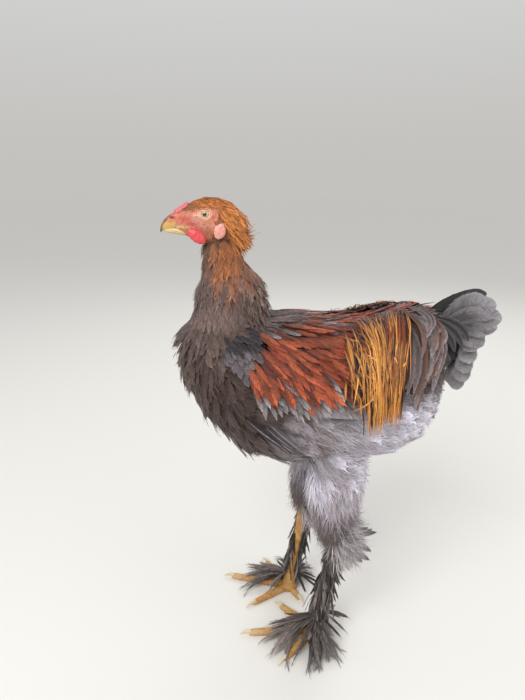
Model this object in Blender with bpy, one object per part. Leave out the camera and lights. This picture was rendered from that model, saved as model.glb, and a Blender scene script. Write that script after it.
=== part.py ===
# Life-size still model of a young brahma cockerel, standing with its bill towards -X.
# Metres, +Z up, floor at z = 0, the bird's left side at -Y. Every named sub-part is one
# closed solid that meets its neighbours face to face.

import math
import random

import bmesh
import bpy
from mathutils import Matrix, Vector
from mathutils.bvhtree import BVHTree

# Clearances
GAP = 0.00036                 # distance that a cut leaves to the neighbouring piece
SINK = 0.003                  # how deep a piece starts inside the one that it is cut by
REACH = 0.06                  # from how far out a drop on to the pieces below is measured
FLAT_ANGLE = math.radians(0.6)      # faces that turn by less than this lie in one plane
DRAPE = 0.0016                # room left between a feather's shaft and the pieces below it
DRAPE_PASSES = 3

# The whole bird is moved by this much so that its box is centred over the origin
CENTRE_SHIFT = Vector((0.0007, 0.0002, 0.0))

# Side names with the sign of Y on that side
SIDES = {"left": -1.0, "right": 1.0}

# Torso stations: x, lowest z, highest z, half width
TORSO = (
    (-0.188, 0.383, 0.444, 0.038),
    (-0.172, 0.353, 0.462, 0.058),
    (-0.148, 0.317, 0.470, 0.077),
    (-0.115, 0.284, 0.466, 0.091),
    (-0.070, 0.266, 0.460, 0.098),
    (-0.020, 0.266, 0.456, 0.099),
    (0.030, 0.268, 0.456, 0.095),
    (0.070, 0.272, 0.458, 0.085),
    (0.100, 0.282, 0.458, 0.070),
    (0.122, 0.302, 0.456, 0.050),
    (0.138, 0.340, 0.446, 0.030),
)
TORSO_FRONT = Vector((-0.196, 0.0, 0.408))
TORSO_REAR = Vector((0.146, 0.0, 0.395))
TORSO_POWER = 2.2
TORSO_SIDES = 26
# Long feathers under the body: count, root as x and angle down each side in degrees, length,
# heading below the level, width, how far the tips stand off
TORSO_TIERS = (
    (5, -0.128, 128.0, 0.050, 40.0, 0.0300, 0.007),
    (5, 0.078, 120.0, 0.046, 40.0, 0.0340, 0.010),
    (4, 0.112, 105.0, 0.040, 48.0, 0.0280, 0.010),
)

# Neck out to the feather tips, from the breast up: centre x, z, half length, half width
NECK = (
    (-0.128, 0.425, 0.055, 0.060),
    (-0.129, 0.455, 0.061, 0.062),
    (-0.1275, 0.477, 0.0535, 0.051),
    (-0.1285, 0.496, 0.0485, 0.044),
    (-0.130, 0.514, 0.0375, 0.036),
    (-0.1357, 0.533, 0.0287, 0.028),
    (-0.137, 0.548, 0.026, 0.0205),
    (-0.133, 0.566, 0.019, 0.0130),
)
NECK_CORE = 0.76              # core of the neck as a share of that
NECK_FOOT_CORE = 0.88         # the same below the height at which the neck meets the back
NECK_FOOT_Z = 0.46
NECK_SIDES = 16

# Hackle tiers, from the nape down: root z, rise of the roots towards the nape, length, count,
# width, how far the tips stand out as a share of the outline, half turn of the tier
HACKLES = (
    (0.548, 0.010, 0.042, 8, 0.0135, 1.04, 0.0),
    (0.528, 0.008, 0.044, 9, 0.0150, 1.02, 0.5),
    (0.506, 0.006, 0.046, 10, 0.0175, 1.01, 0.0),
    (0.484, 0.002, 0.044, 11, 0.0210, 1.00, 0.5),
)
HACKLE_REST = 0.463           # height over the back where the rearmost hackles lie down
HACKLE_SIDE_REST = 0.438      # the same over the shoulders and the breast
HACKLE_FLATTEN = 0.25         # share of the fall that goes on once a hackle lies down
HACKLE_SPREAD = 0.9           # share of it that turns outwards instead

# Head stations, from the bill back: x, lowest z, highest z, half width
HEAD = (
    (-0.190, 0.5630, 0.5830, 0.0075),
    (-0.181, 0.5580, 0.5885, 0.0115),
    (-0.169, 0.5510, 0.5960, 0.0155),
    (-0.155, 0.5460, 0.6005, 0.0182),
    (-0.140, 0.5450, 0.5995, 0.0195),
    (-0.126, 0.5470, 0.5950, 0.0182),
    (-0.114, 0.5550, 0.5840, 0.0120),
)
HEAD_POWER = 2.1
HEAD_SIDES = 16
HEAD_FRONT = Vector((-0.192, 0.0, 0.573))
HEAD_REAR = Vector((-0.110, 0.0, 0.570))
# Nape feathers: root and tip in the middle plane, the same for the outermost, count, width
NAPE_MIDDLE = (Vector((-0.124, 0.0, 0.586)), Vector((-0.090, 0.0, 0.551)))
NAPE_OUTER = (Vector((-0.130, 0.011, 0.572)), Vector((-0.112, 0.030, 0.536)))
NAPE_COUNT = 7
NAPE_WIDTH = 0.0105

BILL_POWER = 2.2
# Bill stations: x, lowest z, highest z, half width
BILL_UPPER = (
    (-0.184, 0.5652, 0.5860, 0.0078),
    (-0.192, 0.5648, 0.5838, 0.0070),
    (-0.199, 0.5642, 0.5798, 0.0056),
    (-0.205, 0.5632, 0.5745, 0.0038),
    (-0.2085, 0.5612, 0.5690, 0.0021),
)
BILL_UPPER_TIP = Vector((-0.2100, 0.0, 0.5600))
BILL_LOWER = (
    (-0.180, 0.5560, 0.5645, 0.0070),
    (-0.188, 0.5570, 0.5644, 0.0062),
    (-0.196, 0.5585, 0.5638, 0.0046),
    (-0.202, 0.5598, 0.5628, 0.0028),
)
BILL_LOWER_TIP = Vector((-0.2052, 0.0, 0.5612))
NOSTRIL = Vector((-0.1945, 0.0068, 0.5765))
NOSTRIL_RADII = (0.0024, 0.0016, 0.0009)
NOSTRIL_SLOPE = 25.0
MOUTH_CORNER = Vector((-0.1790, 0.0112, 0.5652))
MOUTH_RADII = (0.0080, 0.0030, 0.0007)

# Eyes, with the ring of the lids round them and the brow over them
EYE_RADIUS = 0.0063
EYE_PLACE = Vector((-0.1535, 0.0133, 0.5815))
LID_RADIUS = 0.0053
LID_THICKNESS = 0.0010
LID_REACH = 0.0042            # how far the lid ring lies out from the eye's centre
BROW_PLACE = Vector((-0.1560, 0.0130, 0.5895))
BROW_RADII = (0.0105, 0.0046, 0.0032)
BROW_SLOPE = 14.0

# Pea comb: rows of low knobs, each from its front to its rear end, with the knob radii
COMB_ROWS = (
    (4, Vector((-0.1895, 0.0, 0.5840)), Vector((-0.1745, 0.0, 0.5932)), 0.0032),
    (2, Vector((-0.1865, 0.0042, 0.5840)), Vector((-0.1785, 0.0042, 0.5895)), 0.0028),
    (2, Vector((-0.1865, -0.0042, 0.5840)), Vector((-0.1785, -0.0042, 0.5895)), 0.0028),
)
COMB_BASE = (Vector((-0.1820, 0.0, 0.5862)), (0.0110, 0.0058, 0.0040), 32.0)

# Wattles and earlobes: centre and radii on the right side
WATTLE_PLACE = Vector((-0.1690, 0.0105, 0.5535))
WATTLE_RADII = (0.0120, 0.0032, 0.0072)
WATTLE_SLOPE = -38.0
LOBE_PLACE = Vector((-0.1375, 0.0185, 0.5590))
LOBE_RADII = (0.0085, 0.0032, 0.0090)

# Wing stations: x, lowest z, highest z, thickness of the bare wing over the flank
WING = (
    (-0.118, 0.388, 0.424, 0.006),
    (-0.095, 0.372, 0.433, 0.008),
    (-0.060, 0.360, 0.437, 0.009),
    (-0.020, 0.354, 0.435, 0.009),
    (0.015, 0.352, 0.428, 0.008),
    (0.040, 0.356, 0.412, 0.005),
)
WING_FRONT = (-0.130, 0.408)
WING_REAR = (0.052, 0.378)

# Wing feather tiers: count, first and last root as (x, z), first and last tip as (x, z),
# width, lift over the flank at the root and at the tip
WING_TIERS = (
    (5, (-0.010, 0.364), (0.012, 0.396), (0.060, 0.350), (0.082, 0.382), 0.0160, 0.0040, 0.0055),
    (7, (-0.100, 0.398), (0.010, 0.392), (-0.082, 0.362), (0.048, 0.354), 0.0190, 0.0050, 0.0105),
    (7, (-0.108, 0.420), (0.012, 0.422), (-0.088, 0.386), (0.046, 0.388), 0.0200, 0.0055, 0.0140),
)

# Saddle stations: x, angle down each side in degrees, thickness over the back
SADDLE = (
    (-0.036, 25.0, 0.0035),
    (-0.010, 29.0, 0.0050),
    (0.020, 32.0, 0.0055),
    (0.060, 36.0, 0.0060),
    (0.095, 40.0, 0.0070),
    (0.120, 42.0, 0.0080),
)

# Saddle feathers of each side, front to rear: count, first and last root x, angle of the roots
# and of the tips down the side, slant to the rear, width, lift at the tip
SADDLE_TIERS = (
    (9, 0.006, 0.094, 22.0, 97.0, 0.014, 0.0120, 0.0050),
    (4, 0.094, 0.116, 22.0, 92.0, 0.022, 0.0150, 0.0090),
)
# Feathers along the back: count, root x, length, reach to each side in degrees, width
BACK_TIERS = (
    (4, -0.026, 0.046, 22.0, 0.0190),
    (4, 0.014, 0.050, 20.0, 0.0190),
    (4, 0.058, 0.054, 20.0, 0.0190),
)

# Tail core stations: x, lowest z, highest z, half width
TAIL = (
    (0.112, 0.408, 0.460, 0.030),
    (0.135, 0.405, 0.476, 0.030),
    (0.152, 0.412, 0.474, 0.022),
)
TAIL_SIDES = 16
TAIL_END = Vector((0.166, 0.0, 0.446))
TAIL_ROOT = Vector((0.132, 0.0, 0.438))
# Tail feathers of each side: count, first and last heading over the level, first and last
# length, how much shorter the middle ones are, sideways distance at root and tip, step from
# one to the next, width, droop of the tip
TAIL_TIERS = (
    (6, 43.0, -52.0, 0.101, 0.086, 0.020, 0.003, 0.012, 0.0021, 0.0240, 0.012),
    (4, 48.0, -40.0, 0.064, 0.062, 0.006, 0.016, 0.026, 0.0024, 0.0230, 0.010),
)

# Thigh out to the tips, from the hip down: z, front x, rear x, centre y, half width
THIGH = (
    (0.335, -0.040, 0.045, 0.050, 0.036),
    (0.300, -0.046, 0.050, 0.053, 0.040),
    (0.270, -0.042, 0.050, 0.053, 0.039),
    (0.240, -0.034, 0.046, 0.052, 0.035),
    (0.210, -0.027, 0.040, 0.050, 0.029),
    (0.185, -0.018, 0.032, 0.048, 0.023),
    (0.166, -0.008, 0.023, 0.046, 0.016),
)
THIGH_END = (0.158, 0.009, 0.046)
THIGH_CORE = 0.82
THIGH_SIDES = 14
# Thigh locks: root z, length, count, width, how far the tips stand out, half turn of the tier
THIGH_TIERS = (
    (0.290, 0.066, 5, 0.0380, 1.04, 0.0),
    (0.248, 0.058, 5, 0.0320, 1.05, 0.5),
    (0.210, 0.042, 4, 0.0240, 1.10, 0.0),
)
# Tufts behind the hock: root z, length back, drop of the tip, sideways turn, width
HOCK_TUFTS = (
    (0.198, 0.042, 0.018, 0.006, 0.0140),
    (0.189, 0.048, 0.036, -0.004, 0.0160),
    (0.182, 0.042, 0.052, 0.008, 0.0140),
)

# Shank out to its feather tips, left leg: x, z, half length, half width
SHANK = (
    (0.010, 0.178, 0.0085, 0.0085),
    (0.010, 0.156, 0.0150, 0.0145),
    (0.004, 0.125, 0.0155, 0.0150),
    (-0.001, 0.090, 0.0150, 0.0150),
    (-0.007, 0.055, 0.0150, 0.0160),
    (-0.010, 0.024, 0.0140, 0.0150),
)
# Bare shank: x, z, half length, half width
SHANK_CORE = (
    (0.010, 0.175, 0.0075, 0.0070),
    (0.010, 0.157, 0.0100, 0.0085),
    (0.008, 0.140, 0.0085, 0.0072),
    (0.003, 0.110, 0.0068, 0.0060),
    (-0.004, 0.070, 0.0066, 0.0060),
    (-0.009, 0.042, 0.0074, 0.0068),
    (-0.010, 0.026, 0.0080, 0.0075),
)
# Shank feather tiers on the outer side: root z, length, count, width, reach
SHANK_TIERS = (
    (0.144, 0.048, 3, 0.0150, 1.05),
    (0.114, 0.048, 3, 0.0150, 1.15),
    (0.084, 0.046, 3, 0.0160, 1.30),
)
SHANK_SIDES = 10
SHANK_FAN = (-35.0, 150.0)    # the feathered side, from the rear (0) over the outside (90)

# How far each leg's hock and foot stand from the left one's, and the foot's own place
LEG_SHIFT = {"left": 0.0, "right": -0.033}
FOOT_Y = {"left": 0.045, "right": 0.042}
FOOT_TURN = {"left": 3.0, "right": 14.0}
FOOT_X = -0.012
HIP_Z = 0.330
FOOT_TOP = 0.032

# Pad and ankle: offset to the rear, z, half length and half width as shares of the pad radius
PAD = ((0.0, 0.0, 1.0, 0.9), (0.0, 0.006, 1.1, 1.0), (0.001, 0.016, 0.88, 0.85),
       (0.003, 0.034, 0.72, 0.68))

# Toes: length without the claw, heading from the foot's own (outward positive), radius
TOES = {
    "middle": (0.094, 0.0, 0.0072),
    "inner": (0.066, -47.0, 0.0064),
    "outer": (0.066, 44.0, 0.0064),
    "hallux": (0.030, 226.0, 0.0055),
}
TOE_SIDES = 6
TOE_PROFILE = ((-0.06, 1.0), (0.22, 1.0), (0.42, 0.82), (0.55, 0.90), (0.72, 0.74), (0.97, 0.62))
TOE_LIFT = 0.72               # height of a toe's middle as a share of its radius
CLAW_LENGTH = 0.014
CLAW_PROFILE = ((0.10, 0.0026, 0.0050), (0.60, 0.0018, 0.0040))   # along it, radius, height
CLAW_TIP_Z = 0.0010
PAD_RADIUS = 0.0120

# Foot feathers: count, first and last heading, first and last length, root height, width
FOOT_FANS = (
    (6, 12.0, 112.0, 0.102, 0.066, 0.013, 0.0220),
    (4, 28.0, 108.0, 0.076, 0.052, 0.024, 0.0220),
)
FLOOR_CLEARANCE = 0.0012

# Feather thickness at the root and near the tip
QUILL = 0.0013
BLADE = 0.0007
ROOT_DEPTH = 0.87             # how far in the roots start, as a share of the core
VANE_STEPS = (0.0, 0.35, 0.72, 1.0)         # where a feather bends, from root to tip
LONG_VANE_STEPS = (0.0, 0.25, 0.5, 0.75, 1.0)
ROUND = 2.0                   # power of a plain elliptic section
ROLL = math.radians(7.0)      # feathers lie like shingles, each turned a little on its shaft
RANDOM_SEED = 12

# Colours: sRGB hex, roughness
FINISHES = {
    "red_skin": ("B8484A", 0.5),
    "horn": ("C9A24C", 0.35),
    "orange_feather": ("A6602E", 0.7),
    "grey_brown_feather": ("5B504C", 0.75),
    "red_feather": ("8C3A20", 0.65),
    "gold_feather": ("B8752A", 0.6),
    "slate_feather": ("5E6068", 0.7),
    "grey_fluff": ("8E8C96", 0.85),
    "dark_feather": ("3A3634", 0.75),
    "yellow_scale": ("C8963C", 0.5),
    "eye": ("D8B070", 0.1),
}


def linear(hex_colour):
    """Linear RGBA of an sRGB hex colour."""
    values = []
    for start in (0, 2, 4):
        c = int(hex_colour[start:start + 2], 16) / 255.0
        values.append(c / 12.92 if c <= 0.04045 else ((c + 0.055) / 1.055) ** 2.4)
    return (*values, 1.0)


def finish(name):
    """The Principled material of one finish."""
    if name in bpy.data.materials:
        return bpy.data.materials[name]
    hex_colour, roughness = FINISHES[name]
    material = bpy.data.materials.new(name)
    material.use_nodes = True
    shader = material.node_tree.nodes["Principled BSDF"]
    shader.inputs["Base Color"].default_value = linear(hex_colour)
    shader.inputs["Roughness"].default_value = roughness
    shader.inputs["Metallic"].default_value = 0.0
    return material


def section(centre, across, up, half_across, half_up, power, count):
    """A rounded closed section round a centre, in the plane of two axes."""
    ring = []
    for step in range(count):
        angle = 2.0 * math.pi * step / count
        c = math.cos(angle)
        s = math.sin(angle)
        a = half_across * math.copysign(abs(c) ** (2.0 / power), c)
        b = half_up * math.copysign(abs(s) ** (2.0 / power), s)
        ring.append(centre + across * a + up * b)
    return ring


def skin(rings, start_tip=None, end_tip=None):
    """Points and triangles of a stack of equal rings, closed by tips or flat ends."""
    points = [p for ring in rings for p in ring]
    count = len(rings[0])
    faces = []
    for row in range(len(rings) - 1):
        for step in range(count):
            a = row * count + step
            b = row * count + (step + 1) % count
            faces.append((a, b, b + count))
            faces.append((a, b + count, a + count))
    for tip, row in ((start_tip, 0), (end_tip, len(rings) - 1)):
        ring = [row * count + step for step in range(count)]
        if tip is None:
            faces.append(tuple(ring))
            continue
        points.append(tip)
        for step in range(count):
            faces.append((ring[step], ring[(step + 1) % count], len(points) - 1))
    return points, faces


def solid(name, shape, finish_name):
    """An object from points and faces, with its faces turned outwards."""
    points, faces = shape
    mesh = bpy.data.meshes.new(name)
    mesh.from_pydata([tuple(p) for p in points], [], faces)
    work = bmesh.new()
    work.from_mesh(mesh)
    bmesh.ops.recalc_face_normals(work, faces=work.faces)
    work.to_mesh(mesh)
    work.free()
    mesh.shade_smooth()
    mesh.materials.append(finish(finish_name))
    piece = bpy.data.objects.new(name, mesh)
    bpy.context.scene.collection.objects.link(piece)
    return piece


def remove(piece):
    """Delete an object and its mesh."""
    mesh = piece.data
    bpy.data.objects.remove(piece)
    bpy.data.meshes.remove(mesh)


def keep_largest(piece):
    """Drop all but the closed surface with the most faces."""
    work = bmesh.new()
    work.from_mesh(piece.data)
    left = set(work.faces)
    shells = []
    while left:
        seed = left.pop()
        shell = {seed}
        stack = [seed]
        while stack:
            face = stack.pop()
            for edge in face.edges:
                for other in edge.link_faces:
                    if other in left:
                        left.remove(other)
                        shell.add(other)
                        stack.append(other)
        shells.append(shell)
    shells.sort(key=lambda faces: sum(face.calc_area() for face in faces))
    scraps = [face for shell in shells[:-1] for face in shell]
    bmesh.ops.delete(work, geom=scraps, context="FACES")
    work.to_mesh(piece.data)
    work.free()


def is_closed(mesh):
    """True where each edge joins just two faces."""
    work = bmesh.new()
    work.from_mesh(mesh)
    closed = len(work.faces) > 0 and all(len(edge.link_faces) == 2 for edge in work.edges)
    work.free()
    return closed


def combine(piece, others, operation):
    """One Boolean of a piece with a collection of closed objects, applied.

    It is solved exactly, and by the manifold solver where that leaves the piece open."""
    group = bpy.data.collections.new("group")
    bpy.context.scene.collection.children.link(group)
    for other in others:
        group.objects.link(other)
    modifier = piece.modifiers.new("combine", "BOOLEAN")
    modifier.operation = operation
    modifier.operand_type = "COLLECTION"
    modifier.collection = group
    for solver in ("EXACT", "MANIFOLD"):
        modifier.solver = solver
        graph = bpy.context.evaluated_depsgraph_get()
        mesh = bpy.data.meshes.new_from_object(piece.evaluated_get(graph))
        if is_closed(mesh):
            break
        print(piece.name, operation, solver, "left the piece open")
    piece.modifiers.clear()
    old = piece.data
    piece.data = mesh
    bpy.data.meshes.remove(old)
    mesh.name = piece.name
    for other in list(others):
        remove(other)
    bpy.data.collections.remove(group)
    keep_largest(piece)


def merge_flat(piece):
    """Join the small triangles that a union leaves in one plane, where the piece stays closed."""
    work = bmesh.new()
    work.from_mesh(piece.data)
    bmesh.ops.dissolve_limit(work, angle_limit=FLAT_ANGLE, verts=work.verts, edges=work.edges)
    bmesh.ops.triangulate(work, faces=work.faces)
    if all(len(edge.link_faces) == 2 for edge in work.edges):
        work.to_mesh(piece.data)
    work.free()


def grown(piece, distance=GAP):
    """A copy whose surface lies a little further out, to cut a neighbour with."""
    mesh = piece.data.copy()
    normals = [v.normal.copy() for v in mesh.vertices]
    for vertex, normal in zip(mesh.vertices, normals):
        vertex.co += normal * distance
    copy = bpy.data.objects.new("cutter", mesh)
    bpy.context.scene.collection.objects.link(copy)
    return copy


def cut_by(piece, *neighbours):
    """Cut a piece back to the faces of its neighbours, a gap away."""
    for neighbour in neighbours:
        combine(piece, [grown(neighbour)], "DIFFERENCE")


def along_x(stations, power, count):
    """Rings of a form that runs along X, from x, low z, high z and half width."""
    rings = []
    for x, low, high, half_width in stations:
        centre = Vector((x, 0.0, (low + high) / 2.0))
        rings.append(section(centre, Vector((0, 1, 0)), Vector((0, 0, 1)),
                             half_width, (high - low) / 2.0, power, count))
    return rings


def level_rings(stations, power, count):
    """Rings of an upright form, from centre x, centre y, z and two half sizes."""
    rings = []
    for x, y, z, half_length, half_width in stations:
        rings.append(section(Vector((x, y, z)), Vector((1, 0, 0)), Vector((0, 1, 0)),
                             half_length, half_width, power, count))
    return rings


def torso_station(x):
    """Low z, high z and half width of the torso at x."""
    for first, second in zip(TORSO, TORSO[1:]):
        if x <= second[0]:
            break
    t = min(max((x - first[0]) / (second[0] - first[0]), 0.0), 1.0)
    return tuple(a + (b - a) * t for a, b in zip(first[1:], second[1:]))


def flank(x, z):
    """Distance of the torso's side from the middle plane at x and z."""
    low, high, half_width = torso_station(x)
    rise = abs(z - (low + high) / 2.0) / ((high - low) / 2.0)
    return half_width * max(1.0 - rise ** TORSO_POWER, 0.0) ** (1.0 / TORSO_POWER)


def mix(first, second, t):
    """The value t of the way from first to second."""
    return first + (second - first) * t


def share(index, count):
    """Where one of several evenly spaced things lies, from 0 to 1."""
    return index / (count - 1) if count > 1 else 0.5


def vane(path, normals, width, roll=0.0, blunt=0.72, root=0.42):
    """Points and triangles of one flat feather, from its sunk root to its tip.

    The blunt and root values are the shares of the width before the tip and at the root."""
    last = len(path) - 1
    points = []
    for index in range(last):
        t = index / last
        along = (path[index + 1] - path[max(index - 1, 0)]).normalized()
        across = along.cross(normals[index]).normalized()
        up = across.cross(along)
        turned = across * math.cos(roll) + up * math.sin(roll)
        turned_up = up * math.cos(roll) - across * math.sin(roll)
        spread = mix(root, 1.0, math.sin(math.pi / 2.0 * min(t / 0.6, 1.0)))
        if t > 0.7:
            spread = blunt
        half = turned * (width / 2.0 * spread)
        depth = turned_up * (mix(QUILL, BLADE, t) / 2.0)
        points += [path[index] + half + depth, path[index] - half + depth,
                   path[index] - half - depth, path[index] + half - depth]
    points.append(path[last])
    faces = [(3, 2, 1), (3, 1, 0)]
    for index in range(last - 1):
        a = 4 * index
        b = a + 4
        faces += [(a, a + 1, b + 1), (a, b + 1, b),
                  (a + 1, a + 2, b + 2), (a + 1, b + 2, b + 1),
                  (a + 3, b + 2, a + 2), (a + 3, b + 3, b + 2),
                  (a + 3, a, b), (a + 3, b, b + 3)]
    a = 4 * (last - 1)
    tip = len(points) - 1
    faces += [(a + k, a + (k + 1) % 4, tip) for k in range(4)]
    return points, faces


def tree_of(*pieces):
    """One search tree over the surfaces of several pieces."""
    points = []
    faces = []
    for piece in pieces:
        start = len(points)
        points += [vertex.co.copy() for vertex in piece.data.vertices]
        faces += [[start + i for i in polygon.vertices] for polygon in piece.data.polygons]
    return BVHTree.FromPolygons(points, faces)


def draped(path, normals, width, tree):
    """A path raised along its normals until its whole width clears the pieces below it.

    Its first point is the root and stays; both ends of a stretch that lies too low rise."""
    clearance = DRAPE + width / 2.0 * math.sin(ROLL)
    raised = [point.copy() for point in path]
    for index in list(range(1, len(path))) * DRAPE_PASSES:
        normal = normals[index]
        across = (raised[index] - raised[index - 1]).cross(normal).normalized()
        for part in (0.2, 0.4, 0.6, 0.8, 1.0):
            for side in (-0.6, -0.3, 0.0, 0.3, 0.6):
                point = raised[index - 1].lerp(raised[index], part) + across * (width * side)
                hit = tree.ray_cast(point + normal * REACH, -normal, REACH + clearance)[0]
                if hit is None:
                    continue
                lack = (hit - point).dot(normal) + clearance
                if lack > 0.0:
                    raised[index] += normal * (lack if index > 1 else lack / part)
                    if index > 1:
                        raised[index - 1] += normal * lack * (1.0 - part)
    return raised


def fuse(piece, shapes):
    """Join loose closed shapes to a piece with one Boolean union."""
    finish_name = piece.data.materials[0].name
    combine(piece, [solid("shape", shape, finish_name) for shape in shapes], "UNION")


def make_torso():
    rings = along_x(TORSO, TORSO_POWER, TORSO_SIDES)
    return solid("torso", skin(rings, TORSO_FRONT, TORSO_REAR), "grey_brown_feather")


def torso_shapes():
    """Long feathers that hang under the breast and the downy ones round the vent."""
    draw = random.Random(RANDOM_SEED + 7)
    shapes = []
    for count, root_x, reach, length, heading, width, stand in TORSO_TIERS:
        for index in range(count):
            angle = math.radians(mix(reach, 360.0 - reach, share(index, count)))
            run = length * draw.uniform(0.9, 1.15)
            path = []
            for t in VANE_STEPS:
                x = root_x + run * t * math.cos(math.radians(heading))
                drop = run * math.sin(math.radians(heading)) * 0.5 * t * t
                path.append(back_point(x, angle, mix(-SINK, stand, t ** 0.8))
                            - Vector((0.0, 0.0, drop)))
            normal = back_point(root_x, angle, 0.01) - back_point(root_x, angle, 0.0)
            shapes.append(vane(path, [normal.normalized()] * len(path), width, ROLL, 0.75))
    return shapes


def ring_shape(centre, axis, radius, thickness, columns, rows):
    """A closed round ring, such as an eyelid's edge."""
    side = axis.cross(Vector((0, 0, 1))).normalized()
    up = side.cross(axis)
    points = []
    faces = []
    for column in range(columns):
        angle = 2.0 * math.pi * column / columns
        out = side * math.cos(angle) + up * math.sin(angle)
        for row in range(rows):
            turn = 2.0 * math.pi * row / rows
            points.append(centre + out * (radius + thickness * math.cos(turn))
                          + axis * (thickness * math.sin(turn)))
    for column in range(columns):
        for row in range(rows):
            a = column * rows + row
            b = column * rows + (row + 1) % rows
            c = (column + 1) % columns * rows + row
            d = (column + 1) % columns * rows + (row + 1) % rows
            faces += [(a, b, d), (a, d, c)]
    return points, faces


def ball_shape(centre, radii, columns, rows, slope=0.0):
    """A rounded lump from its centre and three radii, turned about Y by a slope in degrees."""
    turn = Matrix.Rotation(math.radians(slope), 3, "Y")
    rings = []
    for row in range(1, rows):
        angle = math.pi * row / rows
        ring = section(Vector((0, 0, radii[2] * math.cos(angle))), Vector((1, 0, 0)),
                       Vector((0, 1, 0)), radii[0] * math.sin(angle),
                       radii[1] * math.sin(angle), ROUND, columns)
        rings.append([centre + turn @ point for point in ring])
    top = centre + turn @ Vector((0, 0, radii[2]))
    bottom = centre - turn @ Vector((0, 0, radii[2]))
    return skin(rings, top, bottom)


def on_side(place, sign):
    """A place given for the right side, on the side of the sign."""
    return Vector((place.x, sign * place.y, place.z))


def make_head():
    """Skull with its brows, the rings of the lids and the eye sockets."""
    rings = along_x(HEAD, HEAD_POWER, HEAD_SIDES)
    head = solid("head", skin(rings, HEAD_FRONT, HEAD_REAR), "orange_feather")
    shapes = []
    for sign in SIDES.values():
        axis = Vector((0, sign, 0))
        shapes.append(ball_shape(on_side(BROW_PLACE, sign), BROW_RADII, 8, 4, BROW_SLOPE))
        shapes.append(ring_shape(on_side(EYE_PLACE, sign) + axis * LID_REACH, axis,
                                 LID_RADIUS, LID_THICKNESS, 11, 4))
    fuse(head, shapes + nape_shapes())
    return head


def nape_shapes():
    """Ragged feathers that stand off the back of the head over the nape."""
    draw = random.Random(RANDOM_SEED + 8)
    shapes = []
    for index in range(NAPE_COUNT):
        s = mix(-1.0, 1.0, share(index, NAPE_COUNT))
        sign = math.copysign(1.0, s)
        root = NAPE_MIDDLE[0].lerp(on_side(NAPE_OUTER[0], sign), abs(s))
        tip = NAPE_MIDDLE[1].lerp(on_side(NAPE_OUTER[1], sign), abs(s))
        tip = root.lerp(tip, draw.uniform(0.9, 1.08))
        outward = Vector((1.0 - abs(s) * 0.6, s, 0.7)).normalized()
        path = []
        for t in VANE_STEPS:
            path.append(root.lerp(tip, t) + outward * (0.005 * math.sin(math.pi * t)))
        shapes.append(vane(path, [outward] * len(path), NAPE_WIDTH, ROLL * sign, 0.7))
    return shapes


def make_eyes(head):
    eyes = []
    for side, sign in SIDES.items():
        shape = ball_shape(on_side(EYE_PLACE, sign), (EYE_RADIUS,) * 3, 11, 7)
        eyes.append(solid("eye_" + side, shape, "eye"))
    cut_by(head, *eyes)


def make_bill():
    """Both halves of the bill, with the nostrils and the corners of the mouth cut in."""
    upper = solid("bill_upper", skin(along_x(BILL_UPPER, BILL_POWER, 12), None, BILL_UPPER_TIP), "horn")
    lower = solid("bill_lower", skin(along_x(BILL_LOWER, BILL_POWER, 10), None, BILL_LOWER_TIP), "horn")
    return upper, lower


def carve_bill_and_mouth(head, upper):
    for sign in SIDES.values():
        hole = ball_shape(on_side(NOSTRIL, sign), NOSTRIL_RADII, 8, 5, NOSTRIL_SLOPE)
        combine(upper, [solid("nostril", hole, "horn")], "DIFFERENCE")
        crease = ball_shape(on_side(MOUTH_CORNER, sign), MOUTH_RADII, 8, 5)
        combine(head, [solid("crease", crease, "horn")], "DIFFERENCE")


def make_comb():
    """Pea comb: a low base with rows of knobs."""
    place, radii, slope = COMB_BASE
    comb = solid("comb", ball_shape(place, radii, 10, 5, slope), "red_skin")
    knobs = []
    for count, first, last, radius in COMB_ROWS:
        for index in range(count):
            size = radius * (0.85 + 0.3 * math.sin(math.pi * share(index, count)))
            knobs.append(ball_shape(first.lerp(last, share(index, count)),
                                    (size, size * 0.85, size), 6, 4))
    fuse(comb, knobs)
    return comb


def make_wattle(side):
    sign = SIDES[side]
    shape = ball_shape(on_side(WATTLE_PLACE, sign), WATTLE_RADII, 10, 5, -WATTLE_SLOPE)
    return solid("wattle_" + side, shape, "red_skin")


def make_lobe(side):
    sign = SIDES[side]
    shape = ball_shape(on_side(LOBE_PLACE, sign), LOBE_RADII, 9, 5)
    return solid("earlobe_" + side, shape, "red_skin")


def neck_station(z):
    """Centre x, half length and half width of the neck's outline at a height."""
    for first, second in zip(NECK, NECK[1:]):
        if z <= second[1]:
            break
    t = min(max((z - first[1]) / (second[1] - first[1]), 0.0), 1.0)
    return mix(first[0], second[0], t), mix(first[2], second[2], t), mix(first[3], second[3], t)


def make_neck_core():
    stations = []
    for x, z, half_length, half_width in NECK:
        core = NECK_CORE if z > NECK_FOOT_Z else NECK_FOOT_CORE
        stations.append((x, 0.0, z, half_length * core, half_width * core))
    return solid("neck", skin(level_rings(stations, ROUND, NECK_SIDES)), "grey_brown_feather")


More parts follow.
